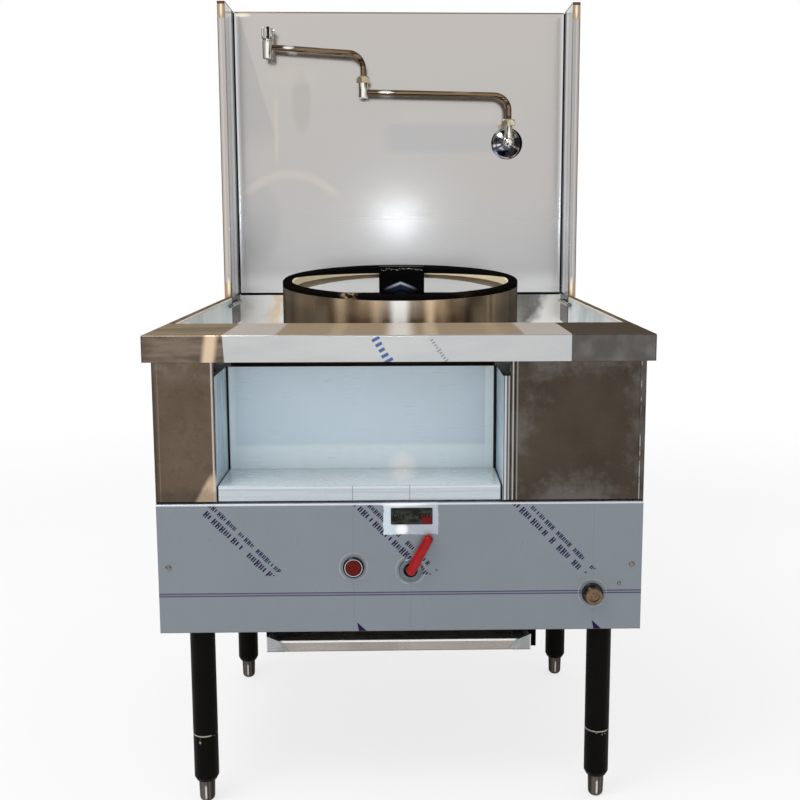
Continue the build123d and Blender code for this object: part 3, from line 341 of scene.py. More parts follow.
wingLook = {
    "front": 0.3015,
    "corner": 0.4155,
    "shade": 0.030,
    "rear": 0.4174,
    "outer": 0.3750,
    "inner": (0.3597, 0.3591),
    "flange": ((0.525, 0.495, 0.475), (0.440, 0.425, 0.415)),     # left and right
    "streak": (0.3668, 0.3692, 0.0012),
    "streakTint": (0.74, 0.69, 0.63),
    "outerTint": (0.22, 0.15, 0.11),
    "head": (1.312, 1.320),
    "foot": (0.776, 0.768),
    "bronze": (0.46, 0.33, 0.20),
    "glints": (((0.3665, 1.334), (0.0024, 0.016)), ((0.3655, 0.762), (0.0030, 0.018))),
    "tip": (1.3435, 1.3450),
    "faces": ((0.50, 0.495, 0.485), (0.70, 0.705, 0.70)),         # outer and inner
    # painted reflections as upright strips on the inner face: from, to, tint, strength
    "reflectionStrips": ((0.3035, 0.3120, (0.30, 0.30, 0.31), 0.6), (0.3350, 0.3500, (0.50, 0.51, 0.52), 0.5),
               (0.3560, 0.3800, (0.86, 0.90, 0.95), 0.7)),
    # painted dark reflection and shade behind the front edge
    "black": (0.006, 0.005, 0.007),
}


def wingExtra(tree, place, x, y, z, look):
    # cream front edge with a brown outer line, bronze ends and painted glints; painted reflections on the
    # inner face, a painted dark reflection down the corner behind, painted shadow under the foot, black along
    # the top
    side = unsigned(tree, x)
    edge = ramp(tree, y, wingLook["front"] + 0.0020, wingLook["front"] + 0.0009)
    color = paint(tree, look["color"], blend(tree, ramp(tree, x, -0.1, 0.1), *wingLook["flange"]), edge)
    color = paint(tree, color, wingLook["streakTint"], edge, within(tree, side, *wingLook["streak"]), 0.5)
    outer = ramp(tree, side, wingLook["outer"] - 0.0030, wingLook["outer"] - 0.0018)
    color = paint(tree, color, wingLook["outerTint"], outer, 0.85)
    ends = most(tree, ramp(tree, z, *wingLook["head"]), ramp(tree, z, *wingLook["foot"]))
    color = paint(tree, color, wingLook["bronze"], edge, ends)
    glint = plus(tree, *(spot(tree, side, z, *mark, 0.95) for mark in wingLook["glints"]))
    color = paint(tree, color, (0.98, 0.92, 0.80), edge, glint, 0.9)
    color = paint(tree, color, (0.12, 0.075, 0.045), edge, ramp(tree, z, *wingLook["tip"]))
    behind = rest(tree, edge)
    inner = ramp(tree, side, *wingLook["inner"])
    color = paint(tree, color, blend(tree, inner, *wingLook["faces"]), behind, 0.85)
    # painted reflections as upright strips
    for start, end, tint, share in wingLook["reflectionStrips"]:
        color = paint(tree, color, tint, within(tree, y, start, end, 0.003), behind, inner, share)
    # painted dark reflection down the inner corner, painted shadow under the foot, black along the top
    cornerReflection = within(tree, y, wingLook["corner"] - wingLook["shade"], wingLook["rear"], 0.0004)
    under = times(tree, ramp(tree, z, 0.7435, 0.7425), behind)
    crown = times(tree, ramp(tree, z, 1.3462, 1.3475), behind)
    black = most(tree, times(tree, cornerReflection, inner), most(tree, under, crown))
    look["color"] = paint(tree, color, wingLook["black"], black)
    look["dull"] = most(tree, black, times(tree, behind, 0.7))


wingSteel = steelPanel("wing steel", (0.50, 0.49, 0.475), (0.42, 0.415, 0.41), "z", 0.2, 5.0, 0.7, 0.08,
                       extra=wingExtra)
wear("left_wing", wingSteel)
wear("right_wing", wingSteel)

deckLook = {
    "filmLeft": -0.2562,
    "filmRight": 0.2500,
    "slant": 0.06,            # the film's left edge leans
    "film": ((0.545, 0.565, 0.585), (0.60, 0.615, 0.625)),
    "ledgeRear": -0.2625,
    "fascia": -0.4375,
    "wellRear": 0.4155,
    "rim": 0.3600,
    "rimTop": (0.7335, 0.737),
    "marksTop": 0.7370,
    # printed rows: start, lean, pitch, half height, ends down the slope; strength and ink
    "prints": (((-0.0375, 0.55, 0.0092, 0.0080, (0.002, 0.046)), 0.9, (0.030, 0.095, 0.310)),
               ((0.0420, 0.70, 0.0046, 0.0036, (0.003, 0.046)), 0.6, (0.13, 0.16, 0.24))),
    "fasciaLeft": ((0.125, 0.097, 0.075), (0.225, 0.178, 0.140)),
    "fasciaRight": ((0.105, 0.099, 0.095), (0.16, 0.15, 0.143)),
    "sheen": (-0.3855, -0.3685, 0.0050),
    "sheenTint": (0.80, 0.62, 0.45),
    # the ledge mirrors the collar behind it: place, half width, strength, tint of each streak
    "mirror": ((0.405, 0.362, 0.322), (0.282, 0.215, 0.145)),
    "streaks": ((0.0, 0.028, 0.80, (0.66, 0.61, 0.56)), (0.045, 0.016, 0.55, (0.52, 0.41, 0.28)),
                (-0.093, 0.016, 0.30, (0.50, 0.39, 0.26)), (0.140, 0.020, 0.25, (0.45, 0.34, 0.23))),
    "ledgeLeft": ((0.255, 0.195, 0.13), (0.17, 0.135, 0.095)),
    "ledgeRight": (0.075, 0.058, 0.043),
    "well": ((0.96, 1.0, 1.0), (0.72, 0.79, 0.81)),
    "rearPale": (1.0, 1.0, 0.98),
    "rearWarm": ((0.90, 0.86, 0.80), (0.95, 0.76, 0.54)),
    "rearDark": ((0.34, 0.33, 0.31), (0.20, 0.195, 0.185)),
    "rearGlow": (1.0, 0.98, 0.95),
    "rims": ((0.185, 0.135, 0.092), (0.115, 0.085, 0.06)),
    "outerLine": (0.02, 0.015, 0.012),
    "lip": (0.80, 0.76, 0.70),
    # painted shadow in the gap behind the well
    "gap": (0.008, 0.008, 0.008),
    "hiddenWall": ((0.085, 0.058, 0.045), (0.80, 0.90, 0.97)),
    "outside": (0.30, 0.285, 0.265),
    "outsideDull": 0.25,
}


def chanceAt(tree, seed):
    # 0 to 1, the same all over one printed stroke
    return add(tree, "TexWhiteNoise", {"Vector": seed.outputs[0]}, noise_dimensions="3D").outputs["Value"]


def filmMarks(tree, x, z, start, lean, pitch, tall, ends):
    # uneven plain blocks printed down a slope
    drop = minus(tree, deckLook["marksTop"], z)
    aside = minus(tree, x, start)
    turned = 1 / math.hypot(1, lean)
    across = times(tree, minus(tree, aside, times(tree, drop, lean)), turned)
    along = times(tree, plus(tree, drop, times(tree, aside, lean)), turned)
    step = calc(tree, "DIVIDE", along, pitch)
    cell, beat = calc(tree, "FLOOR", step), calc(tree, "FRACT", step)
    chance = chanceAt(tree, add(tree, "CombineXYZ", {"X": cell, "Y": start * 1000}))
    reach = ramp(tree, chance, 0.0, 1.0, tall * 0.55, tall)
    row = ramp(tree, minus(tree, unsigned(tree, across), reach), 0.0005, -0.0005)
    return times(tree, row, within(tree, beat, 0.18, 0.70, 0.06), within(tree, along, *ends, 0.001))


def deckFront(tree, place, x, z, film):
    # fascia: bare on the left with one bright sheen, under film in the middle, bare and dark on the right
    left = blend(tree, ramp(tree, noise(tree, place, (14, 9, 70), 4.0), 0.38, 0.62), *deckLook["fasciaLeft"])
    sheen = within(tree, minus(tree, x, times(tree, z, 0.14)), *deckLook["sheen"])
    left = paint(tree, left, deckLook["sheenTint"], sheen, 0.95)
    right = blend(tree, ramp(tree, noise(tree, place, 30.0, 4.0), 0.4, 0.7), *deckLook["fasciaRight"])
    bare = blend(tree, ramp(tree, x, 0.0, 0.01), left, right)
    sheet = blend(tree, ramp(tree, noise(tree, place, (7, 30, 30), 3.0), 0.35, 0.7), *deckLook["film"])
    for row, share, ink in deckLook["prints"]:
        sheet = paint(tree, sheet, ink, filmMarks(tree, x, z, *row), share)
    return blend(tree, film, bare, sheet)


def deckLedge(tree, place, x, film):
    color = blend(tree, ramp(tree, unsigned(tree, x), 0.184, 0.177), *deckLook["mirror"])
    for at, wide, share, tint in deckLook["streaks"]:
        away = unsigned(tree, minus(tree, x, at))
        color = paint(tree, color, tint, ramp(tree, away, wide, wide * 0.2, 0.0, share))
    bare = blend(tree, ramp(tree, noise(tree, place, (5, 30, 5), 3.0), 0.4, 0.6), *deckLook["ledgeLeft"])
    bare = paint(tree, bare, deckLook["ledgeRight"], ramp(tree, x, 0.0, 0.05))
    return blend(tree, film, bare, color)


def deckWell(tree, place, x, y, z):
    # mottled well; its rear wall is painted with reflections, pale and warm on the left, dark on the right,
    # with a painted glow from the right corner; brown rims
    wall = blend(tree, ramp(tree, noise(tree, place, 9.0, 4.0), 0.35, 0.65), *deckLook["well"])
    mottle = ramp(tree, noise(tree, place, (16, 16, 11), 5.0, 0.65), 0.38, 0.6)
    warm = ramp(tree, plus(tree, x, times(tree, noise(tree, place, 30.0, 4.0), 0.04)), -0.300, -0.255)
    warm = times(tree, warm, ramp(tree, x, -0.06, -0.20))
    left = blend(tree, mottle, deckLook["rearPale"], blend(tree, warm, *deckLook["rearWarm"]))
    right = blend(tree, mottle, *deckLook["rearDark"])
    sprawl = times(tree, noise(tree, place, 45.0, 4.0), 0.05)
    # painted glow spreading from the right rear corner
    corner = plus(tree, plus(tree, x, times(tree, minus(tree, z, 0.69), -0.55)), sprawl)
    right = paint(tree, right, deckLook["rearGlow"], ramp(tree, corner, 0.312, 0.345))
    back = blend(tree, ramp(tree, x, -0.15, 0.18), left, right)
    rear = ramp(tree, y, deckLook["wellRear"] - 0.0085, deckLook["wellRear"] - 0.0065)
    color = blend(tree, rear, wall, back)
    color = paint(tree, color, white, ramp(tree, y, 0.285, 0.315), rest(tree, rear))
    side, top = unsigned(tree, x), ramp(tree, z, *deckLook["rimTop"])
    rimTint = blend(tree, ramp(tree, noise(tree, place, 14.0, 3.0), 0.4, 0.65), *deckLook["rims"])
    rim = ramp(tree, side, deckLook["rim"] + 0.0002, deckLook["rim"] + 0.0010)
    color = paint(tree, color, rimTint, rim, top)
    color = paint(tree, color, deckLook["outerLine"], ramp(tree, side, 0.3718, 0.3732), top)
    lip = within(tree, side, deckLook["rim"] - 0.0012, deckLook["rim"] + 0.0014, 0.0004)
    return paint(tree, color, deckLook["lip"], lip, top)


def deckExtra(tree, place, x, y, z, look):
    # fascia and ledge half under film, brown rims, mottled well
    edge = plus(tree, x, times(tree, minus(tree, z, 0.72), deckLook["slant"]))
    film = times(tree, ramp(tree, edge, deckLook["filmLeft"] - 0.0006, deckLook["filmLeft"] + 0.0006),
                 ramp(tree, x, deckLook["filmRight"] - 0.0005, deckLook["filmRight"] + 0.0005, 1.0, 0.0))
    facing = ramp(tree, y, deckLook["fascia"] + 0.0013, deckLook["fascia"] + 0.0007)
    onLedge = ramp(tree, y, deckLook["ledgeRear"] + 0.0013, deckLook["ledgeRear"] + 0.0003)
    front = blend(tree, facing, deckLedge(tree, place, x, film), deckFront(tree, place, x, z, film))
    color = blend(tree, onLedge, deckWell(tree, place, x, y, z), front)
    # painted shadow: black in the gap behind the well's rear edge
    gap = within(tree, y, deckLook["wellRear"] + 0.0004, deckLook["wellRear"] + 0.0022, 0.0003)
    color = paint(tree, color, deckLook["gap"], gap)
    # the well's front wall shows above the shelf recess, brown between its ends and painted pale at both ends
    # to lift its shade
    hidden = times(tree, within(tree, y, -0.2652, -0.2634, 0.0002), ramp(tree, z, 0.699, 0.698))
    ends = most(tree, ramp(tree, x, -0.2730, -0.2738), ramp(tree, x, 0.1520, 0.1528))
    color = paint(tree, color, blend(tree, ends, *deckLook["hiddenWall"]), hidden)
    # plain outer sides and back
    outside = most(tree, ramp(tree, unsigned(tree, x), 0.3742, 0.3748), ramp(tree, y, 0.4178, 0.4181))
    look["color"] = paint(tree, color, deckLook["outside"], outside)
    ledgeFilm = times(tree, film, onLedge)
    look["rough"] = blendValue(tree, ledgeFilm, plus(tree, look["rough"], -0.05), look["rough"])
    inWell = rest(tree, onLedge)
    matt = most(tree, times(tree, inWell, 0.85), gap)
    level = most(tree, times(tree, onLedge, rest(tree, facing)),
                 times(tree, inWell, ramp(tree, z, *deckLook["rimTop"])))
    look["dull"] = blendValue(tree, outside, most(tree, matt, level), deckLook["outsideDull"])
    wrinkle = times(tree, noise(tree, place, (8, 40, 90), 2.0), film, 0.25)
    look["height"] = plus(tree, look["height"], wrinkle)


wear("worktop", steelPanel("worktop steel", (0.56, 0.545, 0.52), (0.44, 0.43, 0.41), "x", 0.22, 8.0, 0.5,
                           0.08, warp=0.00025, gloss=0.0, extra=deckExtra))


cabinetLook = {
    "front": (-0.4160, -0.4175),     # depth where the front begins
    "side": (0.285, 0.27, 0.25),
    "top": (0.6968, 0.6982),
    "topShade": (0.010, 0.009, 0.008),
}


leftLook = {
    "tintPatch": (0.62, 0.48, 0.34),
    "line": ((-0.3580, -0.3566, 0.0004), (0.34, 0.29, 0.23)),
    "topTone": (0.25, 0.22, 0.195),
    "blot": (0.07, 0.052, 0.037),
    "edge": ((-0.2790, -0.2765, 0.0006), (0.62, 0.60, 0.57)),
    "border": (0.05, 0.04, 0.032),
}


def leftExtra(tree, place, x, y, z, look):
    # paler patch at the lower right corner, faint upright line by the outer edge, mottled band at the top
    slope = minus(tree, x, times(tree, z, 0.55))
    tintPatch = times(tree, ramp(tree, slope, -0.578, -0.570), ramp(tree, z, 0.540, 0.515))
    color = paint(tree, look["color"], leftLook["tintPatch"], tintPatch, 0.9)
    line, tint = leftLook["line"]
    color = paint(tree, color, tint, within(tree, x, *line), 0.4)
    topTone = ramp(tree, noise(tree, place, 30.0, 6.0, 0.65), 0.42, 0.66)
    color = paint(tree, color, leftLook["topTone"], ramp(tree, z, 0.655, 0.70), topTone, 0.6)
    blots = ramp(tree, noise(tree, place, 70.0, 5.0), 0.52, 0.7)
    color = paint(tree, color, leftLook["blot"], blots, 0.3)
    edge, tint = leftLook["edge"]
    color = paint(tree, color, tint, within(tree, x, *edge), 0.8)
    border = most(tree, ramp(tree, x, -0.3560, -0.3640), ramp(tree, z, 0.508, 0.498))
    color = paint(tree, color, leftLook["border"], border, 0.35)
    color = paint(tree, color, cabinetLook["topShade"], ramp(tree, z, *cabinetLook["top"]))
    look["color"] = blend(tree, ramp(tree, y, *cabinetLook["front"]), cabinetLook["side"], color)


leftSteel = steelPanel("left front steel", (0.118, 0.087, 0.062), (0.165, 0.125, 0.093), "x", 0.3, 9.0,
                       0.9, 0.12, 0.25, extra=leftExtra)
wear("left_front_panel", leftSteel)
wear("left_side_panel", leftSteel)

rightLook = {
    "middle": ((0.262, 0.100), (0.588, 0.112)),     # brown middle: centre and reach, across and up
    "cloud": (0.185, 0.175, 0.168),
    "fleck": (0.26, 0.25, 0.24),
    "seamAt": 0.3585,
    "seam": (0.46, 0.45, 0.44),
    "hem": 0.1671,
    "hemWide": 0.0010,
    # lines of the hem beside the shelf: offset, tint
    "hemLines": ((0.0, (0.55, 0.54, 0.52)), (0.0032, (0.015, 0.013, 0.012)), (0.0062, (0.30, 0.29, 0.28))),
}


def rightExtra(tree, place, x, y, z, look):
    # dull bloom in broken clouds round the edges, brown middle, broken bright line along the seam
    (x0, wide), (z0, tall) = rightLook["middle"]
    aside = most(tree, calc(tree, "DIVIDE", unsigned(tree, minus(tree, x, x0)), wide),
                 calc(tree, "DIVIDE", unsigned(tree, minus(tree, z, z0)), tall))
    clouds = plus(tree, times(tree, noise(tree, place, 15.0, 7.0, 0.68), 1.5), times(tree, aside, 0.55))
    bloom = ramp(tree, clouds, 1.05, 1.42)
    color = paint(tree, look["color"], rightLook["cloud"], bloom, 0.5)
    flecks = ramp(tree, noise(tree, place, 95.0, 4.0, 0.7), 0.62, 0.72)
    color = paint(tree, color, rightLook["fleck"], flecks, bloom, 0.6)
    line = within(tree, x, rightLook["seamAt"] - 0.0013, rightLook["seamAt"], 0.0004)
    broken = ramp(tree, noise(tree, place, (60, 60, 55), 2.0), 0.40, 0.55)
    color = paint(tree, color, rightLook["seam"], times(tree, line, broken), 0.85)
    for offset, tint in rightLook["hemLines"]:
        at, half = rightLook["hem"] + offset, rightLook["hemWide"]
        color = paint(tree, color, tint, within(tree, x, at - half, at + half, 0.0004), 0.75)
    color = paint(tree, color, cabinetLook["topShade"], ramp(tree, z, *cabinetLook["top"]))
    look["color"] = blend(tree, ramp(tree, y, *cabinetLook["front"]), cabinetLook["side"], color)
    look["rough"] = plus(tree, look["rough"], times(tree, bloom, 0.08))


rightSteel = steelPanel("right front steel", (0.062, 0.049, 0.037), (0.088, 0.070, 0.054), "x", 0.32,
                        10.0, 0.9, 0.12, 0.3, extra=rightExtra)
wear("right_front_panel", rightSteel)
wear("right_side_panel", rightSteel)
plainSteel = steelPanel("plain sheet steel", (0.40, 0.39, 0.375), (0.30, 0.29, 0.28), "x", 0.36, 7.0, 0.8,
                        0.12, 0.3)
for part in ("rear_panel", "base_pan", "leg_plates"):
    wear(part, plainSteel)

nicheLook = {
    "left": -0.274,
    "right": 0.152,
    "back": -0.3095,
    "front": -0.4195,
    "ceiling": 0.6925,
    "greyer": (0.60, 0.68, 0.73),
    "pale": (0.92, 1.0, 1.0),
    "low": (0.86, 0.96, 1.0),
    "shine": ((0.002, 0.512), (0.020, 0.022)),
    "walls": ((0.40, 0.50, 0.57), (0.64, 0.78, 0.86)),
    "topTone": (0.075, 0.055, 0.042),
    "strip": (0.10, 0.095, 0.09),
    # upright lines on the strip right of the opening: from, to, tint
    "stripLines": ((0.1545, 0.1575, (0.55, 0.57, 0.60)), (0.1600, 0.1640, (0.40, 0.41, 0.42))),
}


def nicheExtra(tree, place, x, y, z, look):
    # black joints in the corners painted as their shadow, worn film edge near them, darker ragged band along
    # the top under the worktop, painted shine on the back wall
    atBack = ramp(tree, y, nicheLook["back"] - 0.004, nicheLook["back"] - 0.001)
    left = times(tree, ramp(tree, x, nicheLook["left"] + 0.0036, nicheLook["left"] + 0.0028), atBack)
    right = times(tree, ramp(tree, x, nicheLook["right"] - 0.0052, nicheLook["right"] - 0.0042), atBack)
    inner = times(tree, within(tree, x, nicheLook["left"] - 0.001, nicheLook["right"] + 0.001),
                  most(tree, left, right))
    color = paint(tree, look["color"], nicheLook["greyer"], ramp(tree, x, -0.12, 0.10), atBack, 0.3)
    pale = plus(tree, within(tree, x, -0.270, -0.262, 0.003), within(tree, x, 0.134, 0.1475, 0.001))
    color = paint(tree, color, nicheLook["pale"], times(tree, atBack, pale), 0.6)
    low = times(tree, atBack, ramp(tree, z, 0.554, 0.546))
    color = paint(tree, color, nicheLook["low"], low, 0.7)
    # painted shine on the back wall
    color = paint(tree, color, white, spot(tree, x, z, *nicheLook["shine"], 0.98), 0.9)
    walls = ramp(tree, y, nicheLook["back"] - 0.004, nicheLook["back"] - 0.009)
    drift = ramp(tree, noise(tree, place, (60, 60, 9), 3.0), 0.38, 0.62)
    color = paint(tree, color, blend(tree, drift, *nicheLook["walls"]), walls, 0.85)
    ragged = plus(tree, z, times(tree, noise(tree, place, (22, 22, 3), 3.0), 0.010))
    topBand = ramp(tree, ragged, nicheLook["ceiling"] - 0.0015, nicheLook["ceiling"] + 0.0015)
    topBand = times(tree, topBand, atBack)
    color = paint(tree, color, nicheLook["topTone"], topBand)
    stripColor = nicheLook["strip"]
    for start, end, tint in nicheLook["stripLines"]:
        stripColor = paint(tree, stripColor, tint, within(tree, x, start, end, 0.0004))
    strip = ramp(tree, x, nicheLook["right"] + 0.0005, nicheLook["right"] + 0.0015)
    color = paint(tree, color, stripColor, strip)
    # painted shadow: black in the corner joints
    look["color"] = paint(tree, color, jointShadow, inner)
    look["dull"] = blendValue(tree, most(tree, inner, topBand), 0.8, 1.0)


wear("niche_liner", steelPanel("shelf recess under film", (0.64, 0.77, 0.87), (0.70, 0.825, 0.92), "x",
                               0.34, 4.0, 0.7, 0.03, warp=0.0003, extra=nicheExtra))


shelfLook = {
    "lip": (0.50, 0.555, 0.605),
    "streak": (0.34, 0.38, 0.43),
    "brow": ((0.5075, 0.5098, 0.0005), (0.78, 0.82, 0.86)),
    "shine": ((0.003, -0.345), (0.020, 0.036)),
    "creases": (-0.0722, 0.0132),
    "crease": (0.10, 0.11, 0.14),
}


def shelfExtra(tree, place, x, y, z, look):
    # joint along both ends, two pencil-thin creases down the lip
    ends = most(tree, ramp(tree, x, nicheLook["left"] + 0.0026, nicheLook["left"] + 0.0018),
                ramp(tree, x, nicheLook["right"] - 0.0036, nicheLook["right"] - 0.0024))
    lip = ramp(tree, y, nicheLook["front"] + 0.0014, nicheLook["front"] + 0.0008)
    color = paint(tree, look["color"], shelfLook["lip"], lip, 0.85)
    streak = ramp(tree, noise(tree, place, (3, 3, 420), 2.0), 0.52, 0.6)
    color = paint(tree, color, shelfLook["streak"], lip, streak, 0.35)
    brow, tint = shelfLook["brow"]
    color = paint(tree, color, tint, within(tree, z, *brow), lip, 0.6)
    # painted shine on the top
    shine = spot(tree, x, y, *shelfLook["shine"], 0.98)
    color = paint(tree, color, white, shine, rest(tree, lip), 0.9)
    for at in shelfLook["creases"]:
        crease = within(tree, x, at - 0.0004, at + 0.0004, 0.0003)
        color = paint(tree, color, shelfLook["crease"], crease, lip, 0.9)
    # painted shadow: black in the joints at both ends
    look["color"] = paint(tree, color, jointShadow, ends)
    look["dull"] = blendValue(tree, ends, 0.8, 1.0)


wear("niche_shelf", steelPanel("shelf under film", (0.70, 0.77, 0.80), (0.82, 0.92, 0.98), "x", 0.26, 6.0,
                               0.7, 0.06, warp=0.0002, extra=shelfExtra))
print("wok range: sheet metal finished")

# control panel under its printed film
controlLook = {
    "film": (0.240, 0.272, 0.303),
    "deep": (0.226, 0.254, 0.282),
    "ink": (0.016, 0.006, 0.055),
    "stripe": (0.060, 0.034, 0.105),
    "stripeAt": 0.3432,
    "between": (0.20, 0.19, 0.26),
    "bands": (-0.2385, -0.0030, 0.2375),   # where each printed band crosses the height of the bands' middle
    "bandMiddle": 0.425,
    "bandLean": 0.97,         # sideways run of a band for each step down
    "bandFoot": 0.372,
    # the two rows of a band: offset, half height, pitch, how much higher the row ends
    "bandRows": ((-0.0070, 0.0055, 0.0082, 0.0), (0.0068, 0.0040, 0.0062, 0.006)),
    "centreLines": (-0.0720, 0.0145, 0.2912),
    "centreLine": (0.11, 0.13, 0.18),
    "points": ((-0.0640, 0.2945), 0.2830),     # pointed marks on the lower edge: places, height
    "patch": (-0.0265, 0.0560, 0.4355),        # film cut away round the label: left, right, foot
    "brushed": ((0.40, 0.43, 0.49), (0.52, 0.56, 0.63)),
    "brushedLeft": (0.66, 0.77, 0.84),
    "patchShine": ((0.0013, 0.4434), (0.0085, 0.0085)),
    "top": (0.4805, 0.4818),
    # painted highlight along the top bend, and a painted glow
    "topHighlight": (0.72, 0.75, 0.82),
    "topGlow": ((0.005, 0.4840), (0.034, 0.0045)),
    "button": (-0.072, 0.385),
    "lever": (0.014, 0.380),
    "plug": (0.291, 0.3405),
    "lifted": {"button": 0.0212, "lever": 0.0222, "plug": 0.0215},     # radius of the film's wrinkle
    # painted highlight on the lifted film's ridge, and painted shade inside it
    "ring": (0.60, 0.62, 0.65),
    "ringShade": (0.14, 0.15, 0.17),
    "hem": (0.2848, 0.2838),
    "hemTint": (0.16, 0.105, 0.07),
}


def printedBands(tree, x, z):
    # two rows of short uneven strokes running down the slope, no letters
    ink = None
    drop = minus(tree, controlLook["bandMiddle"], z)
    for start in controlLook["bands"]:
        lean = times(tree, drop, controlLook["bandLean"])
        across = times(tree, minus(tree, minus(tree, x, start), lean), 0.718)
        along = plus(tree, times(tree, drop, 0.718), times(tree, x, 0.696))
        for offset, tall, pitch, higher in controlLook["bandRows"]:
            step = calc(tree, "DIVIDE", along, pitch)
            cell, beat = calc(tree, "FLOOR", step), calc(tree, "FRACT", step)
            seed = add(tree, "CombineXYZ", {"X": cell, "Y": offset * 1000, "Z": start * 100})
            chance = chanceAt(tree, seed)
            reach = ramp(tree, chance, 0.0, 1.0, tall * 0.62, tall)
            row = ramp(tree, minus(tree, unsigned(tree, minus(tree, across, offset)), reach), 0.0004, -0.0004)
            stroke = within(tree, beat, 0.10, 0.42, 0.05)
            second = times(tree, within(tree, beat, 0.58, 0.84, 0.05), ramp(tree, chance, 0.30, 0.34))
            bar = times(tree, within(tree, beat, 0.20, 0.80, 0.05), ramp(tree, chance, 0.52, 0.56),
                        within(tree, across, offset - 0.0008, offset + 0.0010, 0.0004))
            foot = controlLook["bandFoot"] + higher
            shown = times(tree, ramp(tree, chance, 0.10, 0.12), ramp(tree, z, foot, foot + 0.001))
            mark = times(tree, row, most(tree, stroke, second, bar), shown)
            ink = mark if ink is None else most(tree, ink, mark)
    return ink


def controlExtra(tree, place, x, y, z, look):
    # printed bands, purple double line, marked centres, cut patch, lifted film round the fittings with
    # painted highlights and shade on its ridges, painted highlight along the top bend
    face = ramp(tree, y, -0.4186, -0.4190)
    color = look["color"]
    ink = printedBands(tree, x, z)
    stripe = controlLook["stripeAt"]
    for at in (stripe - 0.0019, stripe + 0.0019):
        line = within(tree, z, at - 0.0009, at + 0.0009, 0.0004)
        color = paint(tree, color, controlLook["stripe"], line, face, 0.9)
    between = within(tree, z, stripe - 0.0010, stripe + 0.0010, 0.0003)
    color = paint(tree, color, controlLook["between"], between, face, 0.45)
    for at in controlLook["centreLines"]:
        line = within(tree, x, at - 0.0004, at + 0.0004, 0.0003)
        color = paint(tree, color, controlLook["centreLine"], line, face, 0.3)
    left, right, foot = controlLook["patch"]
    ragged = times(tree, minus(tree, noise(tree, place, 120.0, 3.0), 0.5), 0.006)
    peeled = times(tree, within(tree, plus(tree, x, ragged), left, right, 0.0008),
                   ramp(tree, plus(tree, z, ragged), foot - 0.001, foot + 0.001))
    color = paint(tree, color, controlLook["ink"], ink, face, rest(tree, peeled))
    places, height = controlLook["points"]
    for at in places:
        slope, high = minus(tree, x, at), minus(tree, z, height)
        tip = times(tree, ramp(tree, plus(tree, slope, times(tree, high, 1.05)), 0.0126, 0.0120),
                    ramp(tree, plus(tree, slope, times(tree, high, 0.20)), -0.0010, -0.0004))
        color = paint(tree, color, controlLook["ink"], tip, face)
    brushed = blend(tree, noise(tree, place, (4, 4, 300), 2.0), *controlLook["brushed"])
    brushed = paint(tree, brushed, controlLook["brushedLeft"], ramp(tree, x, 0.010, -0.004, 0.0, 0.8))
    brushed = paint(tree, brushed, white, spot(tree, x, z, *controlLook["patchShine"], 0.9))
    color = paint(tree, color, brushed, peeled, face)
    # painted highlight along the top bend, with a painted glow in its middle
    color = paint(tree, color, controlLook["topHighlight"], ramp(tree, z, *controlLook["top"]), 0.85)
    glow = spot(tree, x, z, *controlLook["topGlow"], 0.95)
    color = paint(tree, color, (0.98, 0.97, 1.0), glow, face)
    for part, radius in controlLook["lifted"].items():
        x0, z0 = controlLook[part]
        reach = distance(tree, minus(tree, x, x0), minus(tree, z, z0))
        # painted highlight on the ridge of the lifted film, broken, and painted shade just inside it
        broken = ramp(tree, noise(tree, place, 60.0, 2.0), 0.35, 0.6, 0.05, 0.34)
        ring = within(tree, reach, radius - 0.0009, radius + 0.0009, 0.0006)
        color = paint(tree, color, controlLook["ring"], ring, broken)
        shade = within(tree, reach, radius - 0.0046, radius - 0.0022, 0.0012)
        color = paint(tree, color, controlLook["ringShade"], shade, 0.35)
        look["height"] = plus(tree, look["height"], times(tree, ring, 1.5))
    look["color"] = paint(tree, color, controlLook["hemTint"], ramp(tree, z, *controlLook["hem"]), 0.8)
    look["rough"] = blendValue(tree, peeled, look["rough"], plus(tree, look["rough"], -0.16))
    look["dull"] = blendValue(tree, peeled, 0.6, 0.85)


wear("control_panel", steelPanel("control panel under film", controlLook["film"], controlLook["deep"], "z",
                                 0.36, 3.0, 0.8, 0.05, warp=0.0002, extra=controlExtra))

# burner and its ring
burnerLook = {
    "axis": (0.0, -0.0075),
    "drift": 4.0,
    # darker at the sides as painted shade
    "brown": ((0.235, 0.172, 0.118), (0.036, 0.025, 0.015)),     # in front, at the sides
    "tan": ((0.400, 0.300, 0.205), (0.110, 0.075, 0.043)),
    "flash": -0.006,
    "glow": (0.55, 0.52, 0.48),
    "line": (0.05, 0.04, 0.03),
    # painted reflections as tan streaks: turn, half width, strength
    "streaks": ((-0.480, 0.110, 0.40), (-0.310, 0.160, 0.10), (-0.185, 0.085, 0.52), (0.232, 0.078, 0.90),
                (0.325, 0.110, 0.36), (0.770, 0.030, 0.14), (0.84, 0.040, 0.12)),
    "streak": (0.98, 0.76, 0.50),
    "inner": (0.2146, 0.2142),
    "soot": (0.715, 0.672),
    "insideTints": ((0.60, 0.48, 0.33), (0.10, 0.08, 0.06)),
}


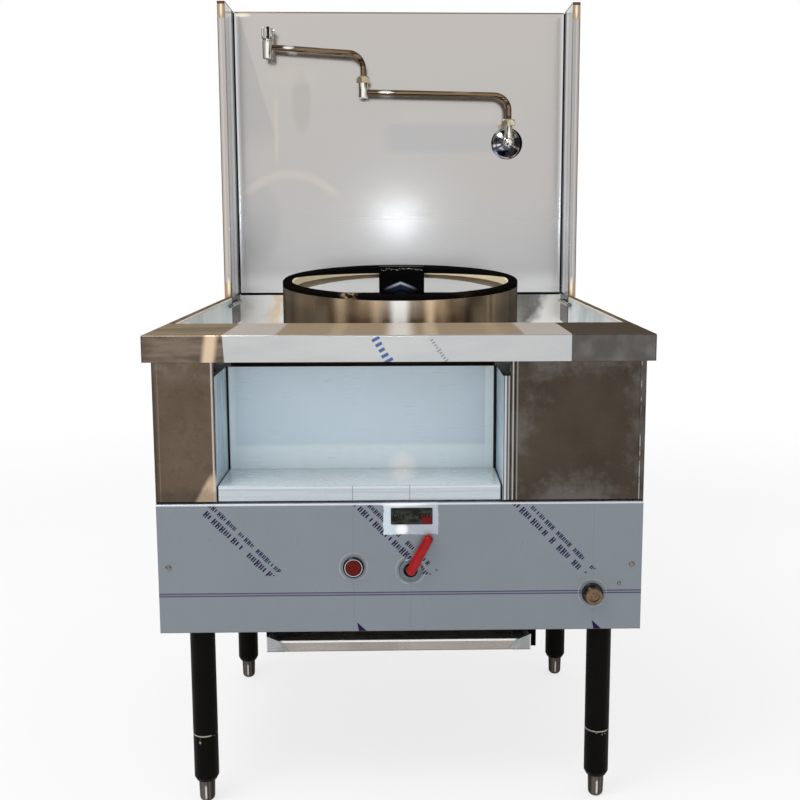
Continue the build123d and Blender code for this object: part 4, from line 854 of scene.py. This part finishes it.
def collarMaterial():
    # heat-tinted tube, painted darker towards the sides as shade; painted reflections as tan streaks at set
    # places, a painted glow and highlight in the middle; fine upright grain
    material, tree = newMaterial("collar steel")
    place, x, y, z = position(tree)
    axis = burnerLook["axis"][1]
    turn = calc(tree, "ARCTAN2", x, minus(tree, axis, y))
    around = add(tree, "CombineXYZ", {"X": turn, "Y": times(tree, z, 0.12)}).outputs[0]
    drift = ramp(tree, noise(tree, around, (burnerLook["drift"], 1.0, 1.0), 3.0, 0.5), 0.35, 0.68)
    fine = grain(tree, place, "z", 1500.0)
    side = ramp(tree, unsigned(tree, turn), 0.45, 1.25)
    color = paint(tree, blend(tree, side, *burnerLook["brown"]), blend(tree, side, *burnerLook["tan"]),
                  drift, 0.7)
    matt = 0.0
    for at, wide, share in burnerLook["streaks"]:
        streak = ramp(tree, unsigned(tree, minus(tree, turn, at)), wide, 0.0, 0.0, share)
        color = paint(tree, color, burnerLook["streak"], streak)
        matt = most(tree, matt, streak)
    # painted glow and highlight in the middle
    middle = unsigned(tree, minus(tree, turn, burnerLook["flash"]))
    color = paint(tree, color, burnerLook["glow"], ramp(tree, middle, 0.26, 0.03, 0.0, 0.6))
    color = paint(tree, color, burnerLook["line"], ramp(tree, fine, 0.3, 0.7, 0.0, 0.14))
    flash = ramp(tree, middle, 0.100, 0.030)
    color = paint(tree, color, white, flash)
    inside = ramp(tree, distance(tree, x, minus(tree, y, axis)), *burnerLook["inner"])
    soot = ramp(tree, z, *burnerLook["soot"])
    color = paint(tree, color, blend(tree, soot, *burnerLook["insideTints"]), inside)
    height = plus(tree, times(tree, fine, 0.05), noise(tree, place, 7.0, 1.0))
    shader = surface(tree, color, ramp(tree, fine, 0.2, 0.8, 0.17, 0.22), height, Specular_IOR_Level=0.0)
    dull = most(tree, times(tree, inside, 0.9), times(tree, side, 0.85))
    dull = most(tree, dull, most(tree, times(tree, flash, 0.75), matt))
    tree.links.new(rest(tree, dull), shader.inputs["Metallic"])
    return material


wear("ring_collar", collarMaterial())

enamelLook = {
    "leg": ((0.0030, 0.0026, 0.0022), (0.014, 0.011, 0.008)),     # black, and where it is thin
    "runner": ((0.006, 0.0055, 0.005), (0.02, 0.017, 0.014)),
    "ring": ((0.0045, 0.0040, 0.0038), (0.07, 0.045, 0.028)),
    "plate": ((0.004, 0.0038, 0.0040), (0.03, 0.026, 0.02)),
}


def enamelColor(tree, place, tints, patches, share):
    # black enamel, thin and brown where it is rubbed
    return blend(tree, ramp(tree, noise(tree, place, patches, 6.0, 0.6), 0.58, 0.78, 0.0, share), *tints)


def enamelSurface(tree, place, color, low, high, gloss):
    pits = plus(tree, noise(tree, place, 260.0, 3.0), noise(tree, place, 30.0, 2.0))
    if high is not None:
        low = ramp(tree, noise(tree, place, 40.0, 4.0), 0.3, 0.7, low, high)
    surface(tree, color, low, pits, 0.0001, Specular_IOR_Level=gloss)


def enamelMaterial(name, tints, rough, patches, share):
    material, tree = newMaterial(name)
    place = position(tree)[0]
    color = enamelColor(tree, place, tints, patches, share)
    enamelSurface(tree, place, color, rough - 0.05, rough + 0.08, 0.05)
    return material


ringLook = {
    "bareRadius": 0.1975,     # bare metal inside this and below the next
    "bareTop": 0.7972,
    "tan": (1.0, 0.85, 0.60),
    "glint": (-0.480, -0.365, 0.04),
    "glintTint": (0.62, 0.42, 0.27),
}


def ringMaterial():
    # black enamel with brown glints, rubbed bare inside under the rim
    material, tree = newMaterial("ring enamel")
    place, x, y, z = position(tree)
    back = minus(tree, y, burnerLook["axis"][1])
    away = distance(tree, x, back)
    color = enamelColor(tree, place, enamelLook["ring"], 14.0, 0.35)
    turn = calc(tree, "ARCTAN2", x, times(tree, back, -1.0))
    glint = times(tree, within(tree, turn, *ringLook["glint"]),
                  ramp(tree, noise(tree, place, 170.0, 3.0), 0.42, 0.68))
    color = paint(tree, color, ringLook["glintTint"], glint, ramp(tree, back, 0.0, -0.1), 0.7)
    bare = times(tree, ramp(tree, away, ringLook["bareRadius"] + 0.0004, ringLook["bareRadius"]),
                 ramp(tree, z, ringLook["bareTop"] + 0.0008, ringLook["bareTop"] - 0.0004))
    tan = blend(tree, noise(tree, place, 30.0, 3.0), ringLook["tan"], tuple(c * 0.9 for c in ringLook["tan"]))
    enamelSurface(tree, place, paint(tree, color, tan, bare), 0.2, 0.34, 0.0)
    return material


plateLook = {
    "peak": 0.7785,           # the gleam's top, its slope and its reach to either side
    "slope": 0.40,
    "reach": 0.036,
    "gleam": (0.62, 0.72, 0.86),
    "under": (0.05, 0.07, 0.13),
}


def plateMaterial():
    # black enamel; a bent pale gleam crosses the lower half
    material, tree = newMaterial("back plate enamel")
    place, x, y, z = position(tree)
    color = enamelColor(tree, place, enamelLook["plate"], 18.0, 0.3)
    peak = plateLook["peak"]
    side = unsigned(tree, x)
    off = unsigned(tree, minus(tree, plus(tree, z, times(tree, side, plateLook["slope"])), peak))
    fading = ramp(tree, side, plateLook["reach"], 0.002, 0.0, 0.9)
    color = paint(tree, color, plateLook["gleam"], ramp(tree, off, 0.0040, 0.0004), fading)
    under = times(tree, ramp(tree, z, peak - 0.004, peak - 0.007), ramp(tree, side, 0.030, 0.0, 0.0, 0.35))
    enamelSurface(tree, place, paint(tree, color, plateLook["under"], under), 0.2, None, 0.02)
    return material


wear("wok_ring", ringMaterial())
wear("ring_back_plate", plateMaterial())
wear("tray_runners", enamelMaterial("runner paint", enamelLook["runner"], 0.45, 40.0, 0.4))

castLook = {
    "iron": ((0.030, 0.029, 0.029), (0.095, 0.045, 0.022)),      # clean and rusty
    "head": ((0.032, 0.030, 0.030), (0.10, 0.05, 0.026)),
    "jets": ((0.45, 0.29, 0.10), (0.20, 0.13, 0.06)),
    "jetsFrom": (0.5825, 0.5835),
}


def castMaterial():
    # rusty cast iron, grainy
    material, tree = newMaterial("cast iron")
    place = position(tree)[0]
    rust = ramp(tree, noise(tree, place, 26.0, 6.0, 0.65), 0.5, 0.72)
    surface(tree, blend(tree, rust, *castLook["iron"]), ramp(tree, rust, 0.0, 1.0, 0.55, 0.85),
            noise(tree, place, 420.0, 4.0), 0.0003, Metallic=0.35)
    return material


castIron = castMaterial()
for part in ("burner_bowl", "mixing_tube", "burner_stand"):
    wear(part, castIron)


def headMaterial():
    # cast gas box with brass jets standing on it
    material, tree = newMaterial("burner head iron and brass")
    place, x, y, z = position(tree)
    rust = ramp(tree, noise(tree, place, 40.0, 6.0, 0.65), 0.5, 0.72)
    jets = ramp(tree, z, *castLook["jetsFrom"])
    color = blend(tree, jets, blend(tree, rust, *castLook["head"]), blend(tree, rust, *castLook["jets"]))
    surface(tree, color, blendValue(tree, jets, 0.7, 0.35), noise(tree, place, 400.0, 4.0), 0.0002,
            Metallic=0.8)
    return material


wear("burner_head", headMaterial())


def metalMaterial(name, color, second, rough, patches=30.0, grainAlong="z"):
    material, tree = newMaterial(name)
    place = position(tree)[0]
    cloud = ramp(tree, noise(tree, place, patches, 5.0, 0.6), 0.4, 0.68, 0.0, 0.6)
    lines = grain(tree, place, grainAlong, 1800.0)
    dullness = plus(tree, ramp(tree, lines, 0.2, 0.8, rough - 0.03, rough + 0.04), times(tree, cloud, 0.08))
    height = plus(tree, times(tree, lines, 0.3), noise(tree, place, 60.0, 2.0))
    surface(tree, blend(tree, cloud, color, second), dullness, height, 0.0001, Metallic=1.0)
    return material


brassLook = {
    "brass": ((0.52, 0.36, 0.16), (0.30, 0.19, 0.08)),
    "black": (0.018, 0.020, 0.020),
    "blackFrom": (-0.405, -0.409),     # depth where the valve's blackened end begins
}
brass = metalMaterial("brass", *brassLook["brass"], 0.28)
for part in ("gas_injector", "pilot_burner"):
    wear(part, brass)


def valveMaterial():
    # brass body, its front end blackened
    material, tree = newMaterial("valve brass")
    place, x, y, z = position(tree)
    cloud = ramp(tree, noise(tree, place, 30.0, 5.0, 0.6), 0.4, 0.68, 0.0, 0.6)
    front = ramp(tree, y, *brassLook["blackFrom"])
    color = paint(tree, blend(tree, cloud, *brassLook["brass"]), brassLook["black"], front)
    shader = surface(tree, color, ramp(tree, cloud, 0.0, 0.6, 0.25, 0.36), noise(tree, place, 60.0, 2.0),
                     0.0001, Specular_IOR_Level=0.15)
    tree.links.new(ramp(tree, front, 0.0, 1.0, 1.0, 0.1), shader.inputs["Metallic"])
    return material


valveBrass = valveMaterial()
wear("gas_valve", valveBrass)
wear("valve_stem", valveBrass)

# one piece each: material, two colours, roughness, size of the patches, way of the grain
metalLook = {
    "thermocouple": ("copper tip", (0.55, 0.27, 0.16), (0.28, 0.12, 0.07), 0.32),
    "gas_inlet_pipe": ("galvanised pipe", (0.36, 0.36, 0.36), (0.22, 0.22, 0.22), 0.45, 45.0),
    "gas_feed_pipe": ("copper pipe", (0.50, 0.25, 0.15), (0.26, 0.12, 0.07), 0.30),
    "pilot_tube": ("thin copper tube", (0.55, 0.28, 0.17), (0.30, 0.14, 0.08), 0.26),
    "lever": ("blackened lever steel", (0.060, 0.056, 0.050), (0.028, 0.026, 0.023), 0.28, 80.0),
    "wing_clamps": ("polished rod", (0.16, 0.15, 0.14), (0.62, 0.60, 0.58), 0.12, 140.0, "y"),
    "lever_washer": ("zinc washer", (0.165, 0.185, 0.205), (0.115, 0.125, 0.135), 0.36, 90.0, "x"),
    "hex_plug": ("bronzed plug", (0.20, 0.135, 0.085), (0.075, 0.05, 0.034), 0.24, 110.0),
}
for part, values in metalLook.items():
    wear(part, metalMaterial(*values))
plated = metalMaterial("plated steel", (0.30, 0.285, 0.26), (0.14, 0.13, 0.115), 0.22, 80.0)
for part in ("panel_screws", "igniter_body"):
    wear(part, plated)

# chromed swing tap
chromeLook = {
    "dark": (0.030, 0.022, 0.017),
    "brown": (0.230, 0.160, 0.095),
    "pale": (0.98, 0.95, 0.88),
    "flashes": ((-0.2366, 0.011), (-0.0309, 0.014), (-0.1100, 0.005)),   # where along x, half length
    "nut": (0.62, 0.50, 0.34),
    "bands": 210.0,
    "tube": 0.0065,           # half the arms' thickness
}


def chromeMaterial(name, along, darkShare, paleShare, run=4.0, level=None):
    # mirror plating with painted reflections as long hard bands, dark, brown and pale, in the direction of
    # the piece
    material, tree = newMaterial(name)
    place, x, y, z = position(tree)
    bands = grain(tree, place, along, chromeLook["bands"], run, 0.55)
    brown = ramp(tree, bands, 0.30 + 0.2 * darkShare, 0.36 + 0.2 * darkShare)
    color = blend(tree, brown, chromeLook["dark"], chromeLook["brown"])
    pale = ramp(tree, bands, 0.76 - 0.3 * paleShare, 0.80 - 0.3 * paleShare)
    color = paint(tree, color, chromeLook["pale"], pale)
    if level is not None:     # long glints on a level tube
        for at, half in chromeLook["flashes"]:
            color = paint(tree, color, white, spot(tree, x, z, (at, level), (half, 0.0036), 0.8))
    surface(tree, color, ramp(tree, noise(tree, place, 70.0, 3.0), 0.3, 0.8, 0.06, 0.12),
            noise(tree, place, 60.0, 2.0), 0.00003, Specular_IOR_Level=0.15, Metallic=1.0)
    return material


for part in ("lower_arm", "upper_arm"):
    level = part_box(part)[1][2] - chromeLook["tube"]
    wear(part, chromeMaterial(part.replace("_", " ") + " chrome", "x", 0.55, 0.15, level=level))
uprightChrome = chromeMaterial("upright chrome", "z", 0.5, 1.2, 16.0)
for part in ("tap_elbow", "mid_joint", "outlet_body", "outlet_knob"):
    wear(part, uprightChrome)

coverLook = {
    "centre": (0.235, 1.071),
    "mirror": ((0.030, 0.030, 0.040), (0.12, 0.12, 0.15)),
    # painted reflections as wedges round the centre: from, to, tint
    "wedges": ((-2.60, -2.05, (0.42, 0.50, 0.86)), (2.10, 2.45, (0.66, 0.64, 0.60)),
               (-3.05, -2.85, (0.80, 0.78, 0.74)), (-0.55, -0.35, (0.40, 0.33, 0.27)),
               (0.55, 0.85, (0.20, 0.16, 0.13))),
    "rim": (0.0300, 0.0328, 0.0006),
    "rimTint": (0.72, 0.62, 0.50),
}


def coverMaterial():
    # wall cover of the tap: deep mirror with painted reflections, a pale blue wedge and pale slashes, and a
    # brown rim
    material, tree = newMaterial("wall cover chrome")
    place, x, y, z = position(tree)
    across, up = minus(tree, x, coverLook["centre"][0]), minus(tree, z, coverLook["centre"][1])
    reach = distance(tree, across, up)
    turn = calc(tree, "ARCTAN2", up, across)
    color = blend(tree, ramp(tree, noise(tree, place, 50.0, 3.0), 0.42, 0.6), *coverLook["mirror"])
    for start, end, tint in coverLook["wedges"]:
        wedge = within(tree, turn, start, end, 0.06)
        color = paint(tree, color, tint, wedge, ramp(tree, reach, 0.012, 0.017))
    broken = ramp(tree, noise(tree, place, 45.0, 2.0), 0.38, 0.55, 0.1, 0.95)
    color = paint(tree, color, coverLook["rimTint"], within(tree, reach, *coverLook["rim"]), broken)
    surface(tree, color, ramp(tree, noise(tree, place, 80.0, 3.0), 0.3, 0.8, 0.05, 0.12),
            noise(tree, place, 60.0, 2.0), 0.00003, Metallic=1.0)
    return material


wear("tap_escutcheon", coverMaterial())
nutChrome = metalMaterial("worn chrome on brass", chromeLook["nut"], chromeLook["pale"], 0.13, 70.0)
wear("tap_gland_nut", nutChrome)
wear("mid_nut", nutChrome)

# lever, button, plug, label
fittingLook = {
    "black": ((0.006, 0.007, 0.009), (0.016, 0.018, 0.022)),
    "buttonLip": (0.0134, (0.62, 0.68, 0.72)),
    "plugLip": (0.0118, (0.03, 0.03, 0.035)),
    "grip": ((0.36, 0.006, 0.006), (0.27, 0.004, 0.005)),
    "cap": ((0.135, 0.006, 0.005), (0.070, 0.004, 0.004)),
}


def fittingRing(name, centre, lipRadius, lipColor):
    # black moulded ring with a thin bright lip
    material, tree = newMaterial(name)
    place, x, y, z = position(tree)
    reach = distance(tree, minus(tree, x, centre[0]), minus(tree, z, centre[1]))
    lip = ramp(tree, reach, lipRadius + 0.0003, lipRadius - 0.0003)
    cloud = noise(tree, place, 200.0, 3.0)
    color = paint(tree, blend(tree, cloud, *fittingLook["black"]), lipColor, lip)
    shader = surface(tree, color, ramp(tree, cloud, 0.3, 0.7, 0.16, 0.28), noise(tree, place, 400.0, 2.0),
                     0.00003, Specular_IOR_Level=0.25)
    tree.links.new(lip, shader.inputs["Metallic"])
    return material


wear("button_bezel", fittingRing("button ring", controlLook["button"], *fittingLook["buttonLip"]))
wear("plug_bezel", fittingRing("plug ring", controlLook["plug"], *fittingLook["plugLip"]))


def plasticMaterial(name, color, second, rough, patches=60.0, coat=0.0):
    material, tree = newMaterial(name)
    place = position(tree)[0]
    cloud = ramp(tree, noise(tree, place, patches, 5.0), 0.4, 0.7)
    dullness = ramp(tree, noise(tree, place, 120.0, 4.0), 0.3, 0.7, rough - 0.05, rough + 0.08)
    surface(tree, blend(tree, cloud, color, second), dullness, noise(tree, place, 500.0, 3.0), 0.00006,
            Coat_Weight=coat, Coat_Roughness=0.08, Specular_IOR_Level=0.12)
    return material


wear("lever_grip", plasticMaterial("red sleeve", *fittingLook["grip"], 0.24, 50.0, 0.25))
wear("button_cap", plasticMaterial("dark red button", *fittingLook["cap"], 0.42, 300.0))

labelLook = {
    "left": 0.016 - 0.03125,
    "right": 0.016 + 0.03125,
    "foot": 0.4511,
    "head": 0.4765,
    "face": -0.4195 - 0.00086,
    "edge": (0.010, 0.010, 0.011),
    "ground": ((0.012, 0.013, 0.010), (0.046, 0.050, 0.042)),
    "red": (0.15, 0.008, 0.010),
    "redFrom": (0.0300, 0.0325),
    "redBelow": (0.4685, 0.4655),
    "ink": ((0.002, 0.002, 0.002), (0.006, 0.006, 0.005)),
    "words": (("label_on", "ON", -0.004), ("label_off", "OFF", 0.036)),     # name, text, place
    "wordHeight": 0.4645,
    "wordSize": 0.0105,
    "wordRaise": 0.00006,
}


def labelMaterial():
    # printed plate: dark green-brown with a darker edge and a red end
    material, tree = newMaterial("switch label print")
    place, x, y, z = position(tree)
    field = times(tree, within(tree, x, labelLook["left"] + 0.0009, labelLook["right"] - 0.0009, 0.0003),
                  within(tree, z, labelLook["foot"] + 0.0008, labelLook["head"] - 0.0008, 0.0003))
    cloud = ramp(tree, noise(tree, place, (60, 60, 140), 4.0), 0.4, 0.65)
    ragged = plus(tree, z, times(tree, cloud, 0.004))
    red = times(tree, ramp(tree, x, *labelLook["redFrom"]), ramp(tree, ragged, *labelLook["redBelow"]))
    ground = paint(tree, blend(tree, cloud, *labelLook["ground"]), labelLook["red"], red, 0.9)
    surface(tree, blend(tree, field, labelLook["edge"], ground), 0.3, noise(tree, place, 90.0, 2.0), 0.0001,
            Specular_IOR_Level=0.08)
    return material


wear("switch_label", labelMaterial())


def inkMaterial():
    material, tree = newMaterial("label ink")
    place = position(tree)[0]
    color = blend(tree, noise(tree, place, 300.0, 3.0), *labelLook["ink"])
    surface(tree, color, 0.4, noise(tree, place, 400.0), 0.00002, Specular_IOR_Level=0.05)
    return material


labelInk = inkMaterial()


def word(name, text, x):
    # raised print on the label
    curve = bpy.data.curves.new(name, "FONT")
    curve.body = text
    curve.size = labelLook["wordSize"]
    curve.extrude = labelLook["wordRaise"]
    curve.align_x, curve.align_y = "CENTER", "CENTER"
    curve.materials.append(labelInk)
    letters = bpy.data.objects.new(name, curve)
    bpy.context.scene.collection.objects.link(letters)
    place = Matrix.Translation((x, labelLook["face"], labelLook["wordHeight"]))
    letters.matrix_world = place @ Matrix.Rotation(math.pi / 2, 4, "X")
    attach(letters, "cabinet")


for name, text, x in labelLook["words"]:
    word(name, text, x)
print("wok range: burner, tap and controls finished")

# drip tray
trayLook = {
    "hem": (0.2617, 0.2625),
    "hemTint": (0.92, 0.93, 0.94),
    "middle": -0.004,
    "slant": 0.72,            # of the corner flaps' edges
    "flap": ((0.30, 0.315, 0.32), (0.38, 0.395, 0.40)),
    # painted highlight down both ends
    "endHighlight": (0.80, 0.82, 0.84),
    "crease": (0.06, 0.05, 0.045),
    "foot": (0.2492, 0.2484),
    "footTint": (0.09, 0.065, 0.05),
    "dull": 0.35,
}


def trayExtra(tree, place, x, y, z, look):
    # pale rolled hem, pale corner flaps folded over the front on a slant, painted highlight down the ends
    hem = times(tree, ramp(tree, z, *trayLook["hem"]), ramp(tree, y, -0.402, -0.4045))
    color = paint(tree, look["color"], trayLook["hemTint"], hem)
    across = unsigned(tree, plus(tree, x, -trayLook["middle"]))
    slant = plus(tree, across, times(tree, minus(tree, 0.2640, z), trayLook["slant"]))
    flap = blend(tree, ramp(tree, noise(tree, place, 25.0, 4.0), 0.35, 0.65), *trayLook["flap"])
    color = paint(tree, color, flap, ramp(tree, slant, 0.1800, 0.1812))
    color = paint(tree, color, trayLook["endHighlight"], ramp(tree, across, 0.2012, 0.2018), 0.7)
    color = paint(tree, color, trayLook["crease"], within(tree, slant, 0.1796, 0.1806, 0.0004), 0.6)
    look["color"] = paint(tree, color, trayLook["footTint"], ramp(tree, z, *trayLook["foot"]), 0.8)
    look["dull"] = trayLook["dull"]


wear("drip_tray", steelPanel("tray steel", (0.34, 0.30, 0.275), (0.45, 0.415, 0.39), "x", 0.3, 12.0, 0.8,
                             0.12, 0.3, extra=trayExtra))

# legs, their sleeves and feet
legPaint = enamelMaterial("leg paint", enamelLook["leg"], 0.34, 60.0, 0.3)
for part in ("front_left_leg", "front_right_leg", "rear_left_leg", "rear_right_leg"):
    wear(part, legPaint)

# painted glint along the upper edge, and pale chips below it
sleeveLook = {"edge": 0.1130, "glintAndChips": (0.50, 0.46, 0.40)}


def sleevePaint():
    # leg paint with a broken painted highlight along the upper edge and pale chips just below it
    material, tree = newMaterial("sleeve paint")
    place, x, y, z = position(tree)
    edge = sleeveLook["edge"]
    rimGlint = times(tree, ramp(tree, z, edge - 0.0016, edge - 0.0009),
                   ramp(tree, noise(tree, place, 48.0, 2.0), 0.36, 0.52))
    chips = times(tree, within(tree, z, edge - 0.014, edge, 0.004),
                  ramp(tree, noise(tree, place, 190.0, 3.0), 0.66, 0.72))
    color = paint(tree, enamelColor(tree, place, enamelLook["leg"], 60.0, 0.3), sleeveLook["glintAndChips"],
                  most(tree, rimGlint, times(tree, chips, 0.5)))
    enamelSurface(tree, place, color, 0.29, 0.42, 0.05)
    return material


wear("leg_sleeves", sleevePaint())

footLook = {
    "dark": (0.030, 0.025, 0.019),
    # pale is the painted highlight down the middle, dark the painted darker flanks
    "pale": (0.145, 0.120, 0.105),
    "shade": ((0.0020, 0.0044, 0.0008), (0.06, 0.05, 0.04)),
    "glint": ((-0.0012, 0.0012, 0.0009), (0.006, 0.027, 0.003), (0.90, 0.86, 0.80)),    # across, up, tint
}


def footMaterial(name, middle):
    # dark turned steel: painted pale middle with one long bright painted glint, darker flanks as painted
    # shade
    material, tree = newMaterial(name)
    place, x, y, z = position(tree)
    across = minus(tree, x, middle)
    lines = grain(tree, place, "x", 1500.0)
    pale = ramp(tree, unsigned(tree, plus(tree, across, 0.0005)), 0.0095, 0.0055)
    color = blend(tree, pale, footLook["dark"], footLook["pale"])
    shade, tint = footLook["shade"]
    color = paint(tree, color, tint, within(tree, across, *shade))
    wide, tall, tint = footLook["glint"]
    glint = times(tree, within(tree, across, *wide), within(tree, z, *tall))
    color = paint(tree, color, tint, glint)
    color = paint(tree, color, footLook["dark"], ramp(tree, lines, 0.3, 0.7, 0.0, 0.3))
    shader = surface(tree, color, ramp(tree, lines, 0.2, 0.8, 0.15, 0.26), lines, 0.00004,
                     Specular_IOR_Level=0.15)
    tree.links.new(ramp(tree, glint, 0.0, 1.0, 0.55, 0.0), shader.inputs["Metallic"])
    return material


for part in ("front_left_foot", "front_right_foot", "rear_left_foot", "rear_right_foot"):
    low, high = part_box(part)
    wear(part, footMaterial(part.replace("_", " ") + " steel", (low[0] + high[0]) / 2))

# weld beads along the back plate
beadLook = {
    "tilt": 4.4,              # degrees the ring leans
    "top": (0.0, -0.0075, 0.7976),
    "face": 0.196 - 0.005 - 0.007,     # from the ring's middle to the plate
    "start": 0.002,
    "row": 0.0395,
    "count": 26,
    "size": (0.0009, 0.0019),
    "lift": 0.0066,
    "stray": (-0.3, 0.3),
    "strayUp": (-0.0022, 0.0022),
    "lumps": (-0.12, 0.18),
    "metal": ((0.42, 0.42, 0.42), (0.08, 0.07, 0.06)),
}


def weldBeads():
    tilt = math.radians(beadLook["tilt"])
    top = Vector(beadLook["top"])
    up = Vector((0.0, -math.sin(tilt), math.cos(tilt)))
    back = Vector((0.0, math.cos(tilt), math.sin(tilt)))
    mesh = bmesh.new()
    for number in range(beadLook["count"]):
        size = random.uniform(*beadLook["size"])
        step = 2 * (number + random.uniform(*beadLook["stray"])) / (beadLook["count"] - 1) - 1
        x = beadLook["start"] + beadLook["row"] * step
        down = beadLook["lift"] + random.uniform(*beadLook["strayUp"])
        centre = top + Vector((x, 0, 0)) + back * beadLook["face"] - up * down
        made = bmesh.ops.create_icosphere(mesh, subdivisions=2, radius=size,
                                          matrix=Matrix.Translation(centre))
        for vert in made["verts"]:
            vert.co += (vert.co - centre) * random.uniform(*beadLook["lumps"])
    data = bpy.data.meshes.new("weld_beads")
    mesh.to_mesh(data)
    mesh.free()
    for face in data.polygons:
        face.use_smooth = True
    beads = bpy.data.objects.new("weld_beads", data)
    bpy.context.scene.collection.objects.link(beads)
    data.materials.append(metalMaterial("weld spatter", *beadLook["metal"], 0.25, 300.0))
    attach(beads, "ring")


weldBeads()

# floor, daylight and lamps
stageLook = {
    "floor": 9.0,
    "fade": (1.6, 3.2),
    "floorColor": (0.93, 0.93, 0.93),
    "lift": 0.72,             # share of plain white in what the camera sees of the floor
    "ambient": 0.82,
    # pale studio for the metal to show: share of the way round from the front, then its level
    "boards": ((0.0, 0.95), (0.20, 0.95), (0.235, 0.35), (0.27, 0.28), (0.30, 0.88), (0.34, 0.88),
               (0.38, 0.14), (0.46, 0.12), (0.51, 0.60), (0.60, 0.92), (1.0, 0.92)),
    "boardTint": (1.0, 0.985, 0.96),
    "ceiling": 0.45,
    "ceilingFrom": (0.55, 0.8),
    # place, aim, size, watts, colour
    "lamps": {"front lamp": ((-0.014, -1.98, 0.880), (0.0, 0.4, 0.9), 0.05, 0.33, (0.88, 0.96, 1.0)),
              "top lamp": ((-1.2, -1.4, 2.9), (0.0, 0.0, 0.6), 1.4, 28.0, (1, 1, 1))},
}


def makeFloor():
    data = bpy.data.meshes.new("floor")
    reach = stageLook["floor"]
    corners = [(-reach, -reach, 0), (reach, -reach, 0), (reach, reach, 0), (-reach, reach, 0)]
    data.from_pydata(corners, [], [(0, 1, 2, 3)])
    floor = bpy.data.objects.new("floor", data)
    bpy.context.scene.collection.objects.link(floor)
    material, tree = newMaterial("pale floor")
    place, x, y, z = position(tree)
    gone = ramp(tree, distance(tree, x, y), *stageLook["fade"])
    path = add(tree, "LightPath")
    matte = add(tree, "BsdfDiffuse", {"Color": (*stageLook["floorColor"], 1.0)})
    glow = add(tree, "Emission", {"Color": (*white, 1.0), "Strength": 1.0})
    share = times(tree, path.outputs["Is Camera Ray"], stageLook["lift"])
    seen = add(tree, "MixShader", {0: share, 1: matte.outputs[0], 2: glow.outputs[0]})
    clear = add(tree, "BsdfTransparent")
    mix = add(tree, "MixShader", {0: gone, 1: seen.outputs[0], 2: clear.outputs[0]})
    add(tree, "OutputMaterial", {0: mix.outputs[0]})
    data.materials.append(material)


def makeWorld():
    world = bpy.data.worlds.new("studio")
    bpy.context.scene.world = world
    world.use_nodes = True
    tree = world.node_tree
    tree.nodes.clear()
    path = add(tree, "LightPath")
    way = add(tree, "TexCoord").outputs["Generated"]
    x, y, z = add(tree, "SeparateXYZ", {0: way}).outputs
    around = unsigned(tree, calc(tree, "ARCTAN2", x, times(tree, y, -1.0)))
    board = add(tree, "ValToRGB", {0: calc(tree, "DIVIDE", around, math.pi)})
    stops = stageLook["boards"]
    while len(board.color_ramp.elements) < len(stops):
        board.color_ramp.elements.new(0.5)
    for element, (at, level) in zip(board.color_ramp.elements, stops):
        element.position = at
        element.color = (*(level * c for c in stageLook["boardTint"]), 1.0)
    overhead = ramp(tree, z, *stageLook["ceilingFrom"])
    mirror = blend(tree, overhead, board.outputs[0], (stageLook["ceiling"],) * 3)
    seen = most(tree, path.outputs["Is Camera Ray"], path.outputs["Is Transmission Ray"])
    ambient = add(tree, "Background", {"Color": (*white, 1.0), "Strength": stageLook["ambient"]})
    reflected = add(tree, "Background", {"Color": mirror, "Strength": 1.0})
    backdrop = add(tree, "Background", {"Color": (*white, 1.0), "Strength": 1.0})
    glossy = path.outputs["Is Glossy Ray"]
    first = add(tree, "MixShader", {0: glossy, 1: ambient.outputs[0], 2: reflected.outputs[0]})
    second = add(tree, "MixShader", {0: seen, 1: first.outputs[0], 2: backdrop.outputs[0]})
    add(tree, "OutputWorld", {0: second.outputs[0]})


def lamp(name, place, aim, size, power, color):
    data = bpy.data.lights.new(name, "AREA")
    data.shape = "DISK"
    data.size = size
    data.energy = power
    data.color = color
    light = bpy.data.objects.new(name, data)
    bpy.context.scene.collection.objects.link(light)
    light.location = place
    light.rotation_euler = (Vector(aim) - Vector(place)).to_track_quat("-Z", "Y").to_euler()


makeFloor()
makeWorld()
for name, values in stageLook["lamps"].items():
    lamp(name, *values)
bpy.context.scene.view_settings.view_transform = "Standard"
print("wok range: floor, world and lamps set")
